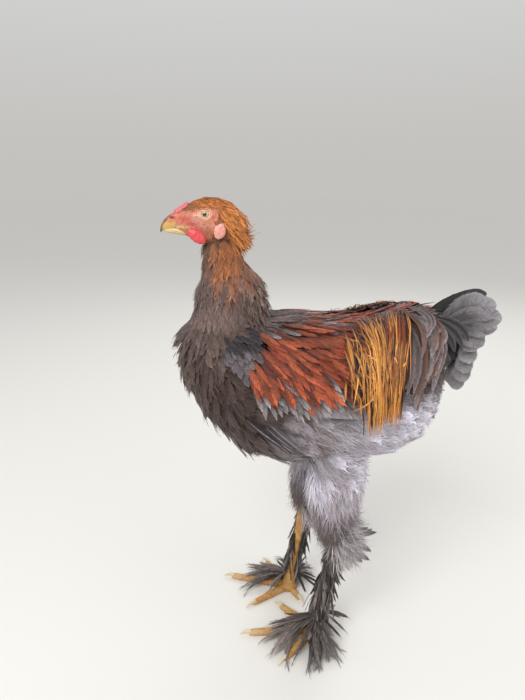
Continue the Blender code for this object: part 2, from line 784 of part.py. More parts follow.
def hackle_shapes(tree):
    """Hackle feathers in tiers round the neck, the lowest lying over back and shoulders."""
    draw = random.Random(RANDOM_SEED)
    shapes = []
    for root_z, rise, length, count, width, reach, half in HACKLES:
        for index in range(count):
            angle = 2.0 * math.pi * (index + half) / count
            radial = Vector((math.cos(angle), math.sin(angle), 0.0))
            start = root_z + rise * math.cos(angle)
            run = length * draw.uniform(0.88, 1.12)
            stand = reach * draw.uniform(0.96, 1.04)
            path = []
            normals = []
            for t in VANE_STEPS:
                z = start - run * t
                rest = mix(HACKLE_SIDE_REST, HACKLE_REST, max(math.cos(angle), 0.0))
                low = max(rest - z, 0.0)
                z = max(z, rest - low * HACKLE_FLATTEN)
                x, half_length, half_width = neck_station(z)
                out = mix(NECK_CORE * ROOT_DEPTH, stand, t ** 0.8)
                slip = low * HACKLE_SPREAD
                path.append(Vector((x + half_length * out * math.cos(angle),
                                    half_width * out * math.sin(angle), z)) + radial * slip)
                normals.append((radial + Vector((0, 0, 0.25 + 0.9 * t))).normalized())
            path = draped(path, normals, width, tree)
            shapes.append(vane(path, normals, width * draw.uniform(0.9, 1.05), ROLL))
    return shapes


def make_wing_core(side):
    """Bare folded wing as a flat pad on the flank."""
    sign = SIDES[side]
    rings = []
    for x, low, high, thickness in WING:
        outer = []
        inner = []
        for step in range(6):
            t = step / 5.0
            z = mix(low, high, t)
            bulge = thickness * (1.0 - abs(2.0 * t - 1.0) ** 3)
            outer.append(Vector((x, sign * (flank(x, z) + bulge + 0.001), z)))
            inner.append(Vector((x, sign * (flank(x, z) - SINK), z)))
        rings.append(outer + inner[::-1])
    tips = [Vector((x, sign * flank(x, z), z)) for x, z in (WING_FRONT, WING_REAR)]
    return solid("wing_" + side, skin(rings, *tips), "red_feather")


def wing_shapes(side):
    """Flight feathers and coverts of a folded wing in tiers, each row over the one below."""
    sign = SIDES[side]
    draw = random.Random(RANDOM_SEED + 1)
    shapes = []
    for tier in WING_TIERS:
        count, root_a, root_b, tip_a, tip_b, width, root_lift, tip_lift = tier
        for index in range(count):
            t = share(index, count)
            root = Vector((mix(root_a[0], root_b[0], t), 0.0, mix(root_a[1], root_b[1], t)))
            tip = Vector((mix(tip_a[0], tip_b[0], t) + draw.uniform(-0.003, 0.003), 0.0,
                          mix(tip_a[1], tip_b[1], t) + draw.uniform(-0.002, 0.002)))
            sag = Vector((0.0, 0.0, -0.004))
            path = []
            for s in VANE_STEPS:
                spot = root.lerp(tip, s) + sag * math.sin(math.pi * s)
                lift = mix(root_lift, tip_lift, min(s * 1.6, 1.0))
                path.append(Vector((spot.x, sign * (flank(spot.x, spot.z) + lift), spot.z)))
            normals = [flank_normal(point.x, point.z, sign) for point in path]
            shapes.append(vane(path, normals, width, ROLL * sign, 0.8))
    return shapes


def flank_normal(x, z, sign):
    """Outward direction of the torso's side at x and z."""
    d = 0.004
    dx = (flank(x + d, z) - flank(x - d, z)) / (2.0 * d)
    dz = (flank(x, z + d) - flank(x, z - d)) / (2.0 * d)
    return Vector((-dx, sign, -dz)).normalized()


def back_point(x, angle, lift):
    """Point over the torso at an angle down from the crest of the back, and raised."""
    low, high, half_width = torso_station(x)
    c = math.cos(angle)
    s = math.sin(angle)
    y = (half_width + lift) * math.copysign(abs(s) ** (2.0 / TORSO_POWER), s)
    rise = ((high - low) / 2.0 + lift) * math.copysign(abs(c) ** (2.0 / TORSO_POWER), c)
    return Vector((x, y, (high + low) / 2.0 + rise))


def make_saddle_core():
    """Pad over the back that carries the saddle feathers."""
    rings = []
    for x, reach, thickness in SADDLE:
        outer = []
        inner = []
        for step in range(-4, 5):
            angle = math.radians(reach) * step / 4.0
            outer.append(back_point(x, angle, thickness if abs(step) < 4 else thickness * 0.6))
            inner.append(back_point(x, angle, -SINK))
        rings.append(outer + inner[::-1])
    return solid("saddle", skin(rings), "gold_feather")


def saddle_shapes(tree):
    """Saddle hackles down both sides and feathers along the back."""
    draw = random.Random(RANDOM_SEED + 2)
    shapes = []
    for count, first, last, root_angle, tip_angle, slant, width, lift in SADDLE_TIERS:
        for sign in SIDES.values():
            for index in range(count):
                x = mix(first, last, share(index, count)) + draw.uniform(-0.001, 0.001)
                end = tip_angle + draw.uniform(-7.0, 5.0)
                path = []
                normals = []
                for t in LONG_VANE_STEPS:
                    angle = math.radians(mix(root_angle, end, t)) * sign
                    rise = mix(0.002, lift, min(t * 2.5, 1.0))
                    spot = x + slant * t
                    point = back_point(spot, angle, rise)
                    path.append(point)
                    normals.append((back_point(spot, angle, rise + 0.01) - point).normalized())
                path = draped(path, normals, width, tree)
                shapes.append(vane(path, normals, width, ROLL * sign, 0.6))
    for count, x, length, reach, width in BACK_TIERS:
        for index in range(count):
            angle = math.radians(mix(-reach, reach, share(index, count)))
            run = length * draw.uniform(0.9, 1.1)
            path = []
            normals = []
            for t in VANE_STEPS:
                point = back_point(x + run * t, angle * (1.0 + 0.25 * t), mix(0.002, 0.0095, t))
                path.append(point)
                normals.append(Vector((0.0, math.sin(angle), math.cos(angle))))
            shapes.append(vane(path, normals, width, ROLL, 0.75))
    return shapes


def make_tail_core():
    rings = along_x(TAIL, ROUND, TAIL_SIDES)
    return solid("tail", skin(rings, None, TAIL_END), "slate_feather")


def tail_shapes():
    """Tail feathers and their coverts on both sides, in a steep roof-shaped fan."""
    draw = random.Random(RANDOM_SEED + 3)
    shapes = []
    for tier in TAIL_TIERS:
        count, first, last, length_a, length_b, waist, near, far, stack, width, droop = tier
        for sign in SIDES.values():
            for index in range(count):
                s = share(index, count)
                heading = math.radians(mix(first, last, s))
                length = mix(length_a, length_b, s) - waist * math.sin(math.pi * s)
                length *= draw.uniform(0.97, 1.03)
                ahead = Vector((math.cos(heading), 0.0, math.sin(heading)))
                path = []
                for t in VANE_STEPS:
                    y = mix(near, far, math.sin(math.pi / 2.0 * t)) + stack * index
                    point = TAIL_ROOT + ahead * (length * t) + Vector((0.0, sign * y, 0.0))
                    path.append(point + Vector((-0.25 * droop, 0.0, -droop)) * t * t)
                normals = [Vector((0.0, sign, 0.0))] * len(path)
                shapes.append(vane(path, normals, width, 0.0, 0.9, 0.30))
    return shapes


def leg_shift(side, z):
    """How far the leg stands from the left one at a height."""
    t = min(max((HIP_Z - z) / (HIP_Z - FOOT_TOP), 0.0), 1.0)
    return LEG_SHIFT[side] * min(t * 1.7, 1.0)


def thigh_station(z, side):
    """Centre x, centre y, half length and half width of the thigh's outline at a height."""
    for first, second in zip(THIGH, THIGH[1:]):
        if z >= second[0]:
            break
    t = min(max((z - first[0]) / (second[0] - first[0]), 0.0), 1.0)
    front, rear, y, half_width = (mix(a, b, t) for a, b in zip(first[1:], second[1:]))
    x = (front + rear) / 2.0 + leg_shift(side, z)
    return x, SIDES[side] * y, (rear - front) / 2.0, half_width


def make_thigh_core(side):
    stations = []
    for z, *_ in THIGH:
        x, y, half_length, half_width = thigh_station(z, side)
        stations.append((x, y, z, half_length * THIGH_CORE, half_width * THIGH_CORE))
    z, x, y = THIGH_END
    end = Vector((x + leg_shift(side, z), SIDES[side] * y, z))
    return solid("thigh_" + side, skin(level_rings(stations, ROUND, THIGH_SIDES), None, end), "grey_fluff")


def thigh_shapes(side):
    """Locks of down round the thigh and the tufts behind the hock."""
    sign = SIDES[side]
    draw = random.Random(RANDOM_SEED + 4)
    shapes = []
    for root_z, length, count, width, reach, half in THIGH_TIERS:
        for index in range(count):
            angle = 2.0 * math.pi * (index + half) / count
            radial = Vector((math.cos(angle), math.sin(angle), 0.0))
            run = length * draw.uniform(0.9, 1.1)
            path = []
            for t in VANE_STEPS:
                z = root_z - run * t
                x, y, half_length, half_width = thigh_station(max(z, THIGH[-1][0]), side)
                out = mix(THIGH_CORE * ROOT_DEPTH, reach, t ** 0.7)
                path.append(Vector((x + half_length * out * radial.x,
                                    y + half_width * out * radial.y, z)))
            normals = [(radial + Vector((0, 0, 0.2))).normalized()] * len(path)
            shapes.append(vane(path, normals, width, ROLL, 0.8))
    for root_z, length, drop, turn, width in HOCK_TUFTS:
        x, y, half_length, half_width = thigh_station(root_z, side)
        path = []
        for t in VANE_STEPS:
            path.append(Vector((x + half_length * 0.4 + length * t, y + sign * turn * t,
                                root_z - drop * t * (0.6 + 0.4 * t))))
        normals = [Vector((0.35, sign * 0.8, 0.5)).normalized()] * len(path)
        shapes.append(vane(path, normals, width, 0.0, 0.7))
    return shapes


def shank_station(z, side, stations):
    """Centre x, centre y, half length and half width of the shank at a height."""
    for first, second in zip(stations, stations[1:]):
        if z >= second[1]:
            break
    t = min(max((z - first[1]) / (second[1] - first[1]), 0.0), 1.0)
    x = mix(first[0], second[0], t) + leg_shift(side, z)
    y = SIDES[side] * FOOT_Y[side]
    return x, y, mix(first[2], second[2], t), mix(first[3], second[3], t)


def make_shank_core(side):
    stations = []
    for _, z, _, _ in SHANK_CORE:
        x, y, half_length, half_width = shank_station(z, side, SHANK_CORE)
        stations.append((x, y, z, half_length, half_width))
    return solid("shank_" + side, skin(level_rings(stations, ROUND, SHANK_SIDES)), "yellow_scale")


def shank_shapes(side):
    """Feathers down the outer side of the shank."""
    sign = SIDES[side]
    draw = random.Random(RANDOM_SEED + 5)
    shapes = []
    for row, (root_z, length, count, width, reach) in enumerate(SHANK_TIERS):
        for index in range(count):
            turn = math.radians(mix(SHANK_FAN[0], SHANK_FAN[1], (index + 0.5 * (row % 2)) / count))
            radial = Vector((math.cos(turn), sign * math.sin(turn), 0.0))
            run = length * draw.uniform(0.9, 1.1)
            path = []
            for t in VANE_STEPS:
                z = root_z - run * t
                x, y, core_a, core_b = shank_station(z, side, SHANK_CORE)
                _, _, far_a, far_b = shank_station(z, side, SHANK)
                a = mix(core_a * 0.5, far_a * reach, t ** 0.7)
                b = mix(core_b * 0.5, far_b * reach, t ** 0.7)
                path.append(Vector((x + a * radial.x, y + b * radial.y, z)))
            normals = [(radial + Vector((0, 0, 0.3))).normalized()] * len(path)
            shapes.append(vane(path, normals, width, ROLL * sign, 0.7))
    return shapes


def toe_shape(start, heading, length, radius, sign):
    """A toe with its claw, flat underneath, from the pad outwards."""
    ahead = Vector((-math.cos(heading), sign * math.sin(heading), 0.0))
    across = Vector((-ahead.y, ahead.x, 0.0))
    rings = []
    for t, scale in TOE_PROFILE:
        r = radius * scale
        rings.append(section(start + ahead * (length * t) + Vector((0, 0, r * TOE_LIFT)),
                             across, Vector((0, 0, 1)), r, r, ROUND, TOE_SIDES))
    for t, r, z in CLAW_PROFILE:
        rings.append(section(start + ahead * (length + CLAW_LENGTH * t) + Vector((0, 0, z)),
                             across, Vector((0, 0, 1)), r, r * 1.2, ROUND, TOE_SIDES))
    tip = start + ahead * (length + CLAW_LENGTH) + Vector((0, 0, CLAW_TIP_Z))
    shape = skin(rings, None, tip)
    for point in shape[0]:
        point.z = max(point.z, 0.0)
    return shape


def foot_centre(side):
    return Vector((FOOT_X + LEG_SHIFT[side], SIDES[side] * FOOT_Y[side], 0.0))


def make_foot_core(side):
    """Pad, ankle and toes."""
    sign = SIDES[side]
    centre = foot_centre(side)
    stations = []
    for dx, z, half_length, half_width in PAD:
        stations.append((centre.x + dx, centre.y, z, PAD_RADIUS * half_length,
                         PAD_RADIUS * half_width))
    foot = solid("foot_" + side, skin(level_rings(stations, ROUND, SHANK_SIDES)), "yellow_scale")
    shapes = []
    for length, heading, radius in TOES.values():
        turned = math.radians(heading + FOOT_TURN[side])
        shapes.append(toe_shape(centre, turned, length, radius, sign))
    return foot, shapes


def foot_shapes(side):
    """Feathers that fan out over the middle and outer toes."""
    sign = SIDES[side]
    draw = random.Random(RANDOM_SEED + 6)
    centre = foot_centre(side)
    shapes = []
    for count, first, last, length_a, length_b, root_z, width in FOOT_FANS:
        for index in range(count):
            s = share(index, count)
            heading = math.radians(mix(first, last, s) + FOOT_TURN[side])
            ahead = Vector((-math.cos(heading), sign * math.sin(heading), 0.0))
            length = mix(length_a, length_b, s) * draw.uniform(0.92, 1.08)
            end_z = FLOOR_CLEARANCE + draw.uniform(0.001, 0.004)
            path = []
            for t in VANE_STEPS:
                z = mix(root_z + 0.003 * (index % 2), end_z, t)
                z += 0.010 * math.sin(math.pi * t ** 0.8)
                path.append(centre + ahead * (0.002 + length * t) + Vector((0, 0, z)))
            normals = [Vector((0, 0, 1))] * len(path)
            shapes.append(vane(path, normals, width, 0.0, 0.85, 0.20))
    return shapes


for stale in list(bpy.data.objects):
    bpy.data.objects.remove(stale)

torso = make_torso()
head = make_head()
neck = make_neck_core()
make_eyes(head)
upper, lower = make_bill()
comb = make_comb()
for side in SIDES:
    lobe = make_lobe(side)
    cut_by(lobe, head, neck)
    wattle = make_wattle(side)
    cut_by(wattle, head, lower, neck)
cut_by(lower, head, upper)
cut_by(comb, head, upper)
cut_by(upper, head)
carve_bill_and_mouth(head, upper)

wings = []
for side in SIDES:
    wing = make_wing_core(side)
    fuse(wing, wing_shapes(side))
    wings.append(wing)
saddle = make_saddle_core()
below = tree_of(torso, *wings)
fuse(neck, hackle_shapes(below))
tail = make_tail_core()
fuse(tail, tail_shapes())
cut_by(tail, torso, saddle)
fuse(saddle, saddle_shapes(below))
for piece in (neck, saddle, *wings):
    cut_by(piece, torso)
cut_by(neck, head)

for side in SIDES:
    thigh = make_thigh_core(side)
    shank = make_shank_core(side)
    foot, toes = make_foot_core(side)
    cut_by(shank, thigh, foot)
    fuse(thigh, thigh_shapes(side))
    fuse(shank, shank_shapes(side))
    fuse(foot, toes + foot_shapes(side))
    cut_by(thigh, torso)
fuse(torso, torso_shapes())

for piece in bpy.context.scene.objects:
    merge_flat(piece)
    piece.data.transform(Matrix.Translation(CENTRE_SHIFT))
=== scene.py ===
# Looks of a life-size model of a young brahma cockerel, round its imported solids.
# Metres, +Z up, floor at z = 0, the bill points to -X and the bird's left side is at -Y.

import math

import bmesh
import bpy
import numpy as np
from mathutils import Matrix, Vector


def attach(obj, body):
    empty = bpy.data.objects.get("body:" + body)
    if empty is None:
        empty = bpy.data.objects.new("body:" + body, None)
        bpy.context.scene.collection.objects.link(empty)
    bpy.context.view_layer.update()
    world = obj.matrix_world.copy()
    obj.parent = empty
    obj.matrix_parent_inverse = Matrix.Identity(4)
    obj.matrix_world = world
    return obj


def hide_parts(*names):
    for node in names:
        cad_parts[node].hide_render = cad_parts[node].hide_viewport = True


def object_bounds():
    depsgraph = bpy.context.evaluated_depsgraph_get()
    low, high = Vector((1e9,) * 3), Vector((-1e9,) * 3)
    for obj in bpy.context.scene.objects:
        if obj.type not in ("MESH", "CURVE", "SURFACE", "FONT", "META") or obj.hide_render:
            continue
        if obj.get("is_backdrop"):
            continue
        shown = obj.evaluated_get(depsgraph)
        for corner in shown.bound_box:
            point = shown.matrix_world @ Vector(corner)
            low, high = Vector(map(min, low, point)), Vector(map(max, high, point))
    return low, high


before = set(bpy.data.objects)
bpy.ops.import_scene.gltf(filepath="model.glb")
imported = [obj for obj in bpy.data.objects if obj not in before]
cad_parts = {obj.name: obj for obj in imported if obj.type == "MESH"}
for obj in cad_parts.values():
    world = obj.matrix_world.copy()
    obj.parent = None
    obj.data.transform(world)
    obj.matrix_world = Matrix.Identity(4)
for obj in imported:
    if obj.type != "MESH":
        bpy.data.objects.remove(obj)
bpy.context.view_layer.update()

# Floor, light and camera
# A plain pale studio floor under one big soft light, a weaker one from the front and a pale sky.
# The camera stands where the photographer did: a little above the bird's back, square to its side.
# From the place where the shapes below are laid out to the frame's origin
CENTRE_SHIFT = Vector((0.0007, 0.0002, 0.0))
FLOOR_HALF = 60.0
FLOOR_COLOUR = "E6E3DD"
FLOOR_SHADE = "E2DFD9"
HORIZON_COLOUR = "E3E1DD"
HORIZON_LIGHT = 0.716
SKY_COLOUR = "F2F4F6"
SKY_LIGHT = 0.80
CAMERA_PLACE = Vector((-0.087, -0.646, 0.615))
CAMERA_PITCH = math.radians(72.5)
CAMERA_LENS = 27.05
# Name, place, width in metres and power in watts
LAMPS = (
    ("key_light", Vector((-0.9, -1.5, 1.9)), 1.3, 36.0),
    ("fill_light", Vector((1.6, -1.0, 1.0)), 1.6, 7.0),
    ("rear_light", Vector((0.6, 1.6, 1.8)), 1.4, 12.0),
)
AIM = Vector((0.0, 0.0, 0.33))


def linear(hex_colour):
    """Linear red, green and blue of an sRGB hex colour."""
    values = []
    for start in (0, 2, 4):
        c = int(hex_colour[start:start + 2], 16) / 255.0
        values.append(c / 12.92 if c <= 0.04045 else ((c + 0.055) / 1.055) ** 2.4)
    return np.array(values)


def add_node(tree, kind, inputs=None, links=None, **settings):
    """A node with its settings, its input values and the outputs linked to its inputs."""
    made = tree.nodes.new("ShaderNode" + kind)
    for name, value in settings.items():
        setattr(made, name, value)
    for name, value in (inputs or {}).items():
        made.inputs[name].default_value = value
    for name, output in (links or {}).items():
        tree.links.new(output, made.inputs[name])
    return made


def new_material(name, roughness, specular=0.5):
    """A material with its node tree and Principled shader, without the base colour."""
    material = bpy.data.materials.new(name)
    material.use_nodes = True
    shader = material.node_tree.nodes["Principled BSDF"]
    shader.inputs["Roughness"].default_value = roughness
    shader.inputs["Specular IOR Level"].default_value = specular
    return material, material.node_tree, shader


def rgba(hex_colour):
    """Linear RGBA of an sRGB hex colour, for a colour socket."""
    return (*linear(hex_colour), 1.0)


# Matt painted board: a faint unevenness that only shows in the soft shadow
floor_paint, tree, shader = new_material("matt_painted_board", roughness=0.9, specular=0.2)
noise = add_node(tree, "TexNoise", {"Scale": 3.0, "Detail": 2.0})
ramp = add_node(tree, "ValToRGB", links={"Fac": noise.outputs["Fac"]})
ramp.color_ramp.elements[0].color = rgba(FLOOR_SHADE)
ramp.color_ramp.elements[1].color = rgba(FLOOR_COLOUR)
tree.links.new(ramp.outputs["Color"], shader.inputs["Base Color"])
floor_mesh = bpy.data.meshes.new("floor")
floor_mesh.from_pydata(
    [(x * FLOOR_HALF, y * FLOOR_HALF, 0.0) for x, y in ((-1, -1), (1, -1), (1, 1), (-1, 1))], [],
    [(0, 1, 2, 3)])
floor_mesh.materials.append(floor_paint)
floor = bpy.data.objects.new("floor", floor_mesh)
bpy.context.scene.collection.objects.link(floor)
floor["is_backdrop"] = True

world = bpy.data.worlds.new("studio")
bpy.context.scene.world = world
world.use_nodes = True
# The sky is as bright at the horizon as the lit floor, so no line shows behind the bird
sky = world.node_tree
view_way = add_node(sky, "TexCoord")
rise = add_node(sky, "SeparateXYZ", links={"Vector": view_way.outputs["Generated"]})
height = add_node(
    sky, "MapRange", {"From Max": 0.55}, {"Value": rise.outputs["Z"]}, interpolation_type="SMOOTHSTEP")
horizon = (*(linear(HORIZON_COLOUR) * HORIZON_LIGHT), 1.0)
zenith = (*(linear(SKY_COLOUR) * SKY_LIGHT), 1.0)
sky_colour = add_node(
    sky, "Mix", {"A": horizon, "B": zenith}, {"Factor": height.outputs["Result"]}, data_type="RGBA")
sky.links.new(sky_colour.outputs["Result"], sky.nodes["Background"].inputs["Color"])
for name, place, size, power in LAMPS:
    lamp_data = bpy.data.lights.new(name, "AREA")
    lamp_data.size = size
    lamp_data.energy = power
    lamp = bpy.data.objects.new(name, lamp_data)
    lamp.location = place
    lamp.rotation_euler = (AIM - place).to_track_quat("-Z", "Y").to_euler()
    bpy.context.scene.collection.objects.link(lamp)

camera_data = bpy.data.cameras.new("camera")
camera_data.lens = CAMERA_LENS
camera_data.clip_start = 0.02
camera_data.clip_end = 50.0
camera = bpy.data.objects.new("camera", camera_data)
camera.location = CAMERA_PLACE + CENTRE_SHIFT
camera.rotation_euler = (CAMERA_PITCH, 0.0, 0.0)
bpy.context.scene.collection.objects.link(camera)
bpy.context.scene.camera = camera
bpy.context.scene.view_settings.view_transform = "Standard"

# Body skin
# One closed skin under the coat of the torso, neck, thighs and legs, as deep inside the solids
# as the feathers are thick. It carries the coat's colours, darkened as painted shade, so no gap
# between feathers shows pale.
SIDES = {"left": -1.0, "right": 1.0}
COAT_DEPTH = 0.007
SKIN_VOXEL = 0.0032
SKIN_SMOOTHING = 8
# Along the torso: x, lowest and highest z, half width
TORSO = np.array((
    (-0.188, 0.383, 0.444, 0.038),
    (-0.172, 0.353, 0.462, 0.058),
    (-0.148, 0.317, 0.470, 0.077),
    (-0.115, 0.284, 0.466, 0.091),
    (-0.070, 0.266, 0.460, 0.098),
    (-0.020, 0.266, 0.456, 0.099),
    (0.030, 0.268, 0.456, 0.095),
    (0.070, 0.272, 0.458, 0.085),
    (0.100, 0.282, 0.458, 0.070),
    (0.122, 0.302, 0.456, 0.050),
    (0.138, 0.340, 0.446, 0.030),
))
TORSO_START = (-0.189, 0.0, 0.408)
TORSO_END = (0.139, 0, 0.395)
TORSO_POWER = 2.2
# Up the neck: x of its middle, z, half length, half width
NECK = np.array((
    (-0.128, 0.425, 0.055, 0.060),
    (-0.129, 0.455, 0.061, 0.062),
    (-0.1275, 0.477, 0.0535, 0.051),
    (-0.1285, 0.496, 0.0485, 0.044),
    (-0.130, 0.514, 0.0375, 0.036),
    (-0.1357, 0.533, 0.0287, 0.028),
    (-0.137, 0.548, 0.026, 0.0205),
    (-0.135, 0.566, 0.020, 0.0150),
))
# The skin's share of the outline, where feathers make up the rest
NECK_CORE = 0.74
# Up the thigh: z, front and rear x, y of its middle, half width
THIGH = np.array((
    (0.158, 0.003, 0.016, 0.046, 0.008),
    (0.166, -0.008, 0.023, 0.046, 0.016),
    (0.185, -0.018, 0.032, 0.048, 0.023),
    (0.210, -0.027, 0.040, 0.050, 0.029),
    (0.240, -0.034, 0.046, 0.052, 0.035),
    (0.270, -0.042, 0.050, 0.053, 0.039),
    (0.300, -0.046, 0.050, 0.053, 0.040),
    (0.335, -0.040, 0.045, 0.050, 0.036),
))
THIGH_CORE = 0.66
# The right foot stands further ahead than the left one
LEG_SHIFT = {"left": 0.0, "right": -0.033}
HIP_Z = 0.330
FOOT_TOP = 0.032


def leg_shift(side, z):
    """How far the leg stands from the left one at a height."""
    t = np.clip((HIP_Z - z) / (HIP_Z - FOOT_TOP), 0.0, 1.0)
    return LEG_SHIFT[side] * np.minimum(t * 1.7, 1.0)


def ring(centre, across, up, half_across, half_up, power, count):
    """Points of one rounded section, as an array."""
    angle = np.linspace(0.0, 2.0 * math.pi, count, endpoint=False)
    c = np.cos(angle)
    s = np.sin(angle)
    a = half_across * np.sign(c) * np.abs(c) ** (2.0 / power)
    b = half_up * np.sign(s) * np.abs(s) ** (2.0 / power)
    return np.array(centre) + np.outer(a, across) + np.outer(b, up)


def read_table(table, at, *wanted, key=0):
    """Columns of a table of stations, read between them at places in its key column."""
    return [np.interp(at, table[:, key], table[:, column]) for column in wanted]


def section_rings(xs, lows, highs, halves, power, count):
    """Rounded sections square to X, from their heights and half widths."""
    return [
        ring((x, 0.0, (low + high) / 2.0), (0, 1, 0), (0, 0, 1), half, (high - low) / 2.0, power, count)
        for x, low, high, half in zip(xs, lows, highs, halves)]


def tube_mesh(name, rings, start=None, end=None):
    """A closed mesh over a stack of equal rings, with its normals turned outwards."""
    count = len(rings[0])
    points = [tuple(p) for one in rings for p in one]
    faces = []
    for row in range(len(rings) - 1):
        for step in range(count):
            a = row * count + step
            b = row * count + (step + 1) % count
            faces.append((a, b, b + count, a + count))
    for tip, row in ((start, 0), (end, len(rings) - 1)):
        edge = [row * count + step for step in range(count)]
        if tip is None:
            tip = np.mean(rings[row], axis=0)
        points.append(tuple(tip))
        faces += [(edge[step], edge[(step + 1) % count], len(points) - 1) for step in range(count)]
    mesh = bpy.data.meshes.new(name)
    mesh.from_pydata(points, [], faces)
    work = bmesh.new()
    work.from_mesh(mesh)
    bmesh.ops.recalc_face_normals(work, faces=work.faces)
    work.to_mesh(mesh)
    work.free()
    return mesh


def join_meshes(name, meshes):
    """One mesh made of several, which are then removed."""
    work = bmesh.new()
    for mesh in meshes:
        work.from_mesh(mesh)
        bpy.data.meshes.remove(mesh)
    joined = bpy.data.meshes.new(name)
    work.to_mesh(joined)
    work.free()
    return joined


def add_object(name, mesh):
    """An object at the origin that shows the mesh."""
    mesh.name = name
    made = bpy.data.objects.new(name, mesh)
    bpy.context.scene.collection.objects.link(made)
    return made


def fuse(piece, voxel, smoothing):
    """Melt the overlapping parts of a piece into one skin, in cells of a size, and smooth it."""
    remesh = piece.modifiers.new("remesh", "REMESH")
    remesh.mode = "VOXEL"
    remesh.voxel_size = voxel
    remesh.use_smooth_shade = True
    piece.modifiers.new("smooth", "SMOOTH").iterations = smoothing
    graph = bpy.context.evaluated_depsgraph_get()
    mesh = bpy.data.meshes.new_from_object(piece.evaluated_get(graph))
    piece.modifiers.clear()
    old = piece.data
    piece.data = mesh
    bpy.data.meshes.remove(old)
    mesh.name = piece.name


def hand_over(piece, material, material_slot, *nodes):
    piece.data.materials.clear()
    piece.data.materials.append(material)
    piece.data.transform(Matrix.Translation(CENTRE_SHIFT))
    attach(piece, "root")
    if nodes:
        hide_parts(*nodes)


def crest_raise(x):
    """How far the saddle stands up over the torso's back, towards the tail."""
    rear = np.clip((np.asarray(x) - 0.01) / 0.08, 0.0, 1.0)
    end = np.clip((0.138 - np.asarray(x)) / 0.025, 0.0, 1.0)
    return 0.010 * rear * rear * (3.0 - 2.0 * rear) * end


def thigh_ring(side, z, share, count):
    """Section of the thigh at a height, as a share of its outline."""
    front, rear, y, half = read_table(THIGH, z, 1, 2, 3, 4)
    x = (front + rear) / 2.0 + leg_shift(side, z)
    return ring(
        (x, SIDES[side] * y, z), (1, 0, 0), (0, 1, 0), (rear - front) / 2.0 * share, half * share, power=2.0,
        count=count)


# The torso's sections, a coat's depth inside its outline
xs = np.linspace(TORSO[0, 0] + COAT_DEPTH * 0.6, TORSO[-1, 0] - COAT_DEPTH * 0.4, 40)
low_z, high_z, half_y = read_table(TORSO, xs, 1, 2, 3)
rings = section_rings(
    xs, low_z + COAT_DEPTH, high_z - COAT_DEPTH * 0.8 + crest_raise(xs), half_y - COAT_DEPTH, TORSO_POWER,
    count=40)
skin_parts = [tube_mesh("torso_part", rings, TORSO_START, TORSO_END)]
rings = []
for z in np.linspace(NECK[0, 1], NECK[-1, 1], 30):
    x, a, b = read_table(NECK, z, 0, 2, 3, key=1)
    rings.append(ring((x, 0, z), (1, 0, 0), (0, 1, 0), a * NECK_CORE, b * NECK_CORE, power=2.0, count=28))
skin_parts.append(tube_mesh("neck_part", rings))
for side in SIDES:
    zs = np.linspace(THIGH[0, 0], THIGH[-1, 0], 24)
    skin_parts.append(tube_mesh("thigh_part", [thigh_ring(side, z, THIGH_CORE, 24) for z in zs]))
skin = add_object("skin_body", join_meshes("skin_body", skin_parts))
fuse(skin, SKIN_VOXEL, SKIN_SMOOTHING)


def vertex_rows(mesh, what="co"):
    """Points of a mesh, or its normals, one in each row."""
    values = np.empty(len(mesh.vertices) * 3)
    mesh.vertices.foreach_get(what, values)
    return values.reshape(-1, 3)


def surface_of(piece):
    """Corner points and corner normals of the triangles of a piece, as arrays."""
    mesh = piece.data
    mesh.calc_loop_triangles()
    corners = np.empty(len(mesh.loop_triangles) * 3, int)
    mesh.loop_triangles.foreach_get("vertices", corners)
    corners = corners.reshape(-1, 3)
    return vertex_rows(mesh)[corners], vertex_rows(mesh, "normal")[corners]


def smooth_step(value, low, high):
    """0 below low, 1 above high, and smooth between."""
    t = np.clip((value - low) / (high - low), 0.0, 1.0)
    return t * t * (3.0 - 2.0 * t)


def blend(first, second, share):
    """Rows of colours or vectors between two, by a share for each row."""
    share = np.asarray(share)[..., None]
    return np.asarray(first) * (1.0 - share) + np.asarray(second) * share


def pick(mask, first, second):
    """Rows of the first colours where the mask is true, and of the second elsewhere."""
    return np.where(mask[:, None], first, second)


def waves(points, scale, seed):
    """Smooth uneven values from -1 to 1 over points, with spots about 1 / scale across."""
    draw = np.random.default_rng(seed)
    total = np.zeros(len(points))
    for _ in range(5):
        direction = draw.normal(size=3)
        total += np.sin(points @ direction * scale * draw.uniform(0.7, 1.8) + draw.uniform(0, 6.3))
    return total / 3.0


# Colours of the coat, from the front of the bird to its legs
BREAST_DARK = linear("2F231F")
BREAST_MID = linear("54443E")
NECK_MAUVE = linear("6B5853")
NECK_DARK = linear("483934")
BELLY_LILAC = linear("C4C0CC")
BELLY_GREY = linear("746663")
THIGH_PALE = linear("DEDAE6")
THIGH_GREY = linear("A59AA0")
# Painted shade, under the wing and on the lower thigh
THIGH_PAINTED_SHADE = linear("5A4B46")
THROAT_BROWN = linear("6A4B33")
NECK_ORANGE = linear("9A5C33")


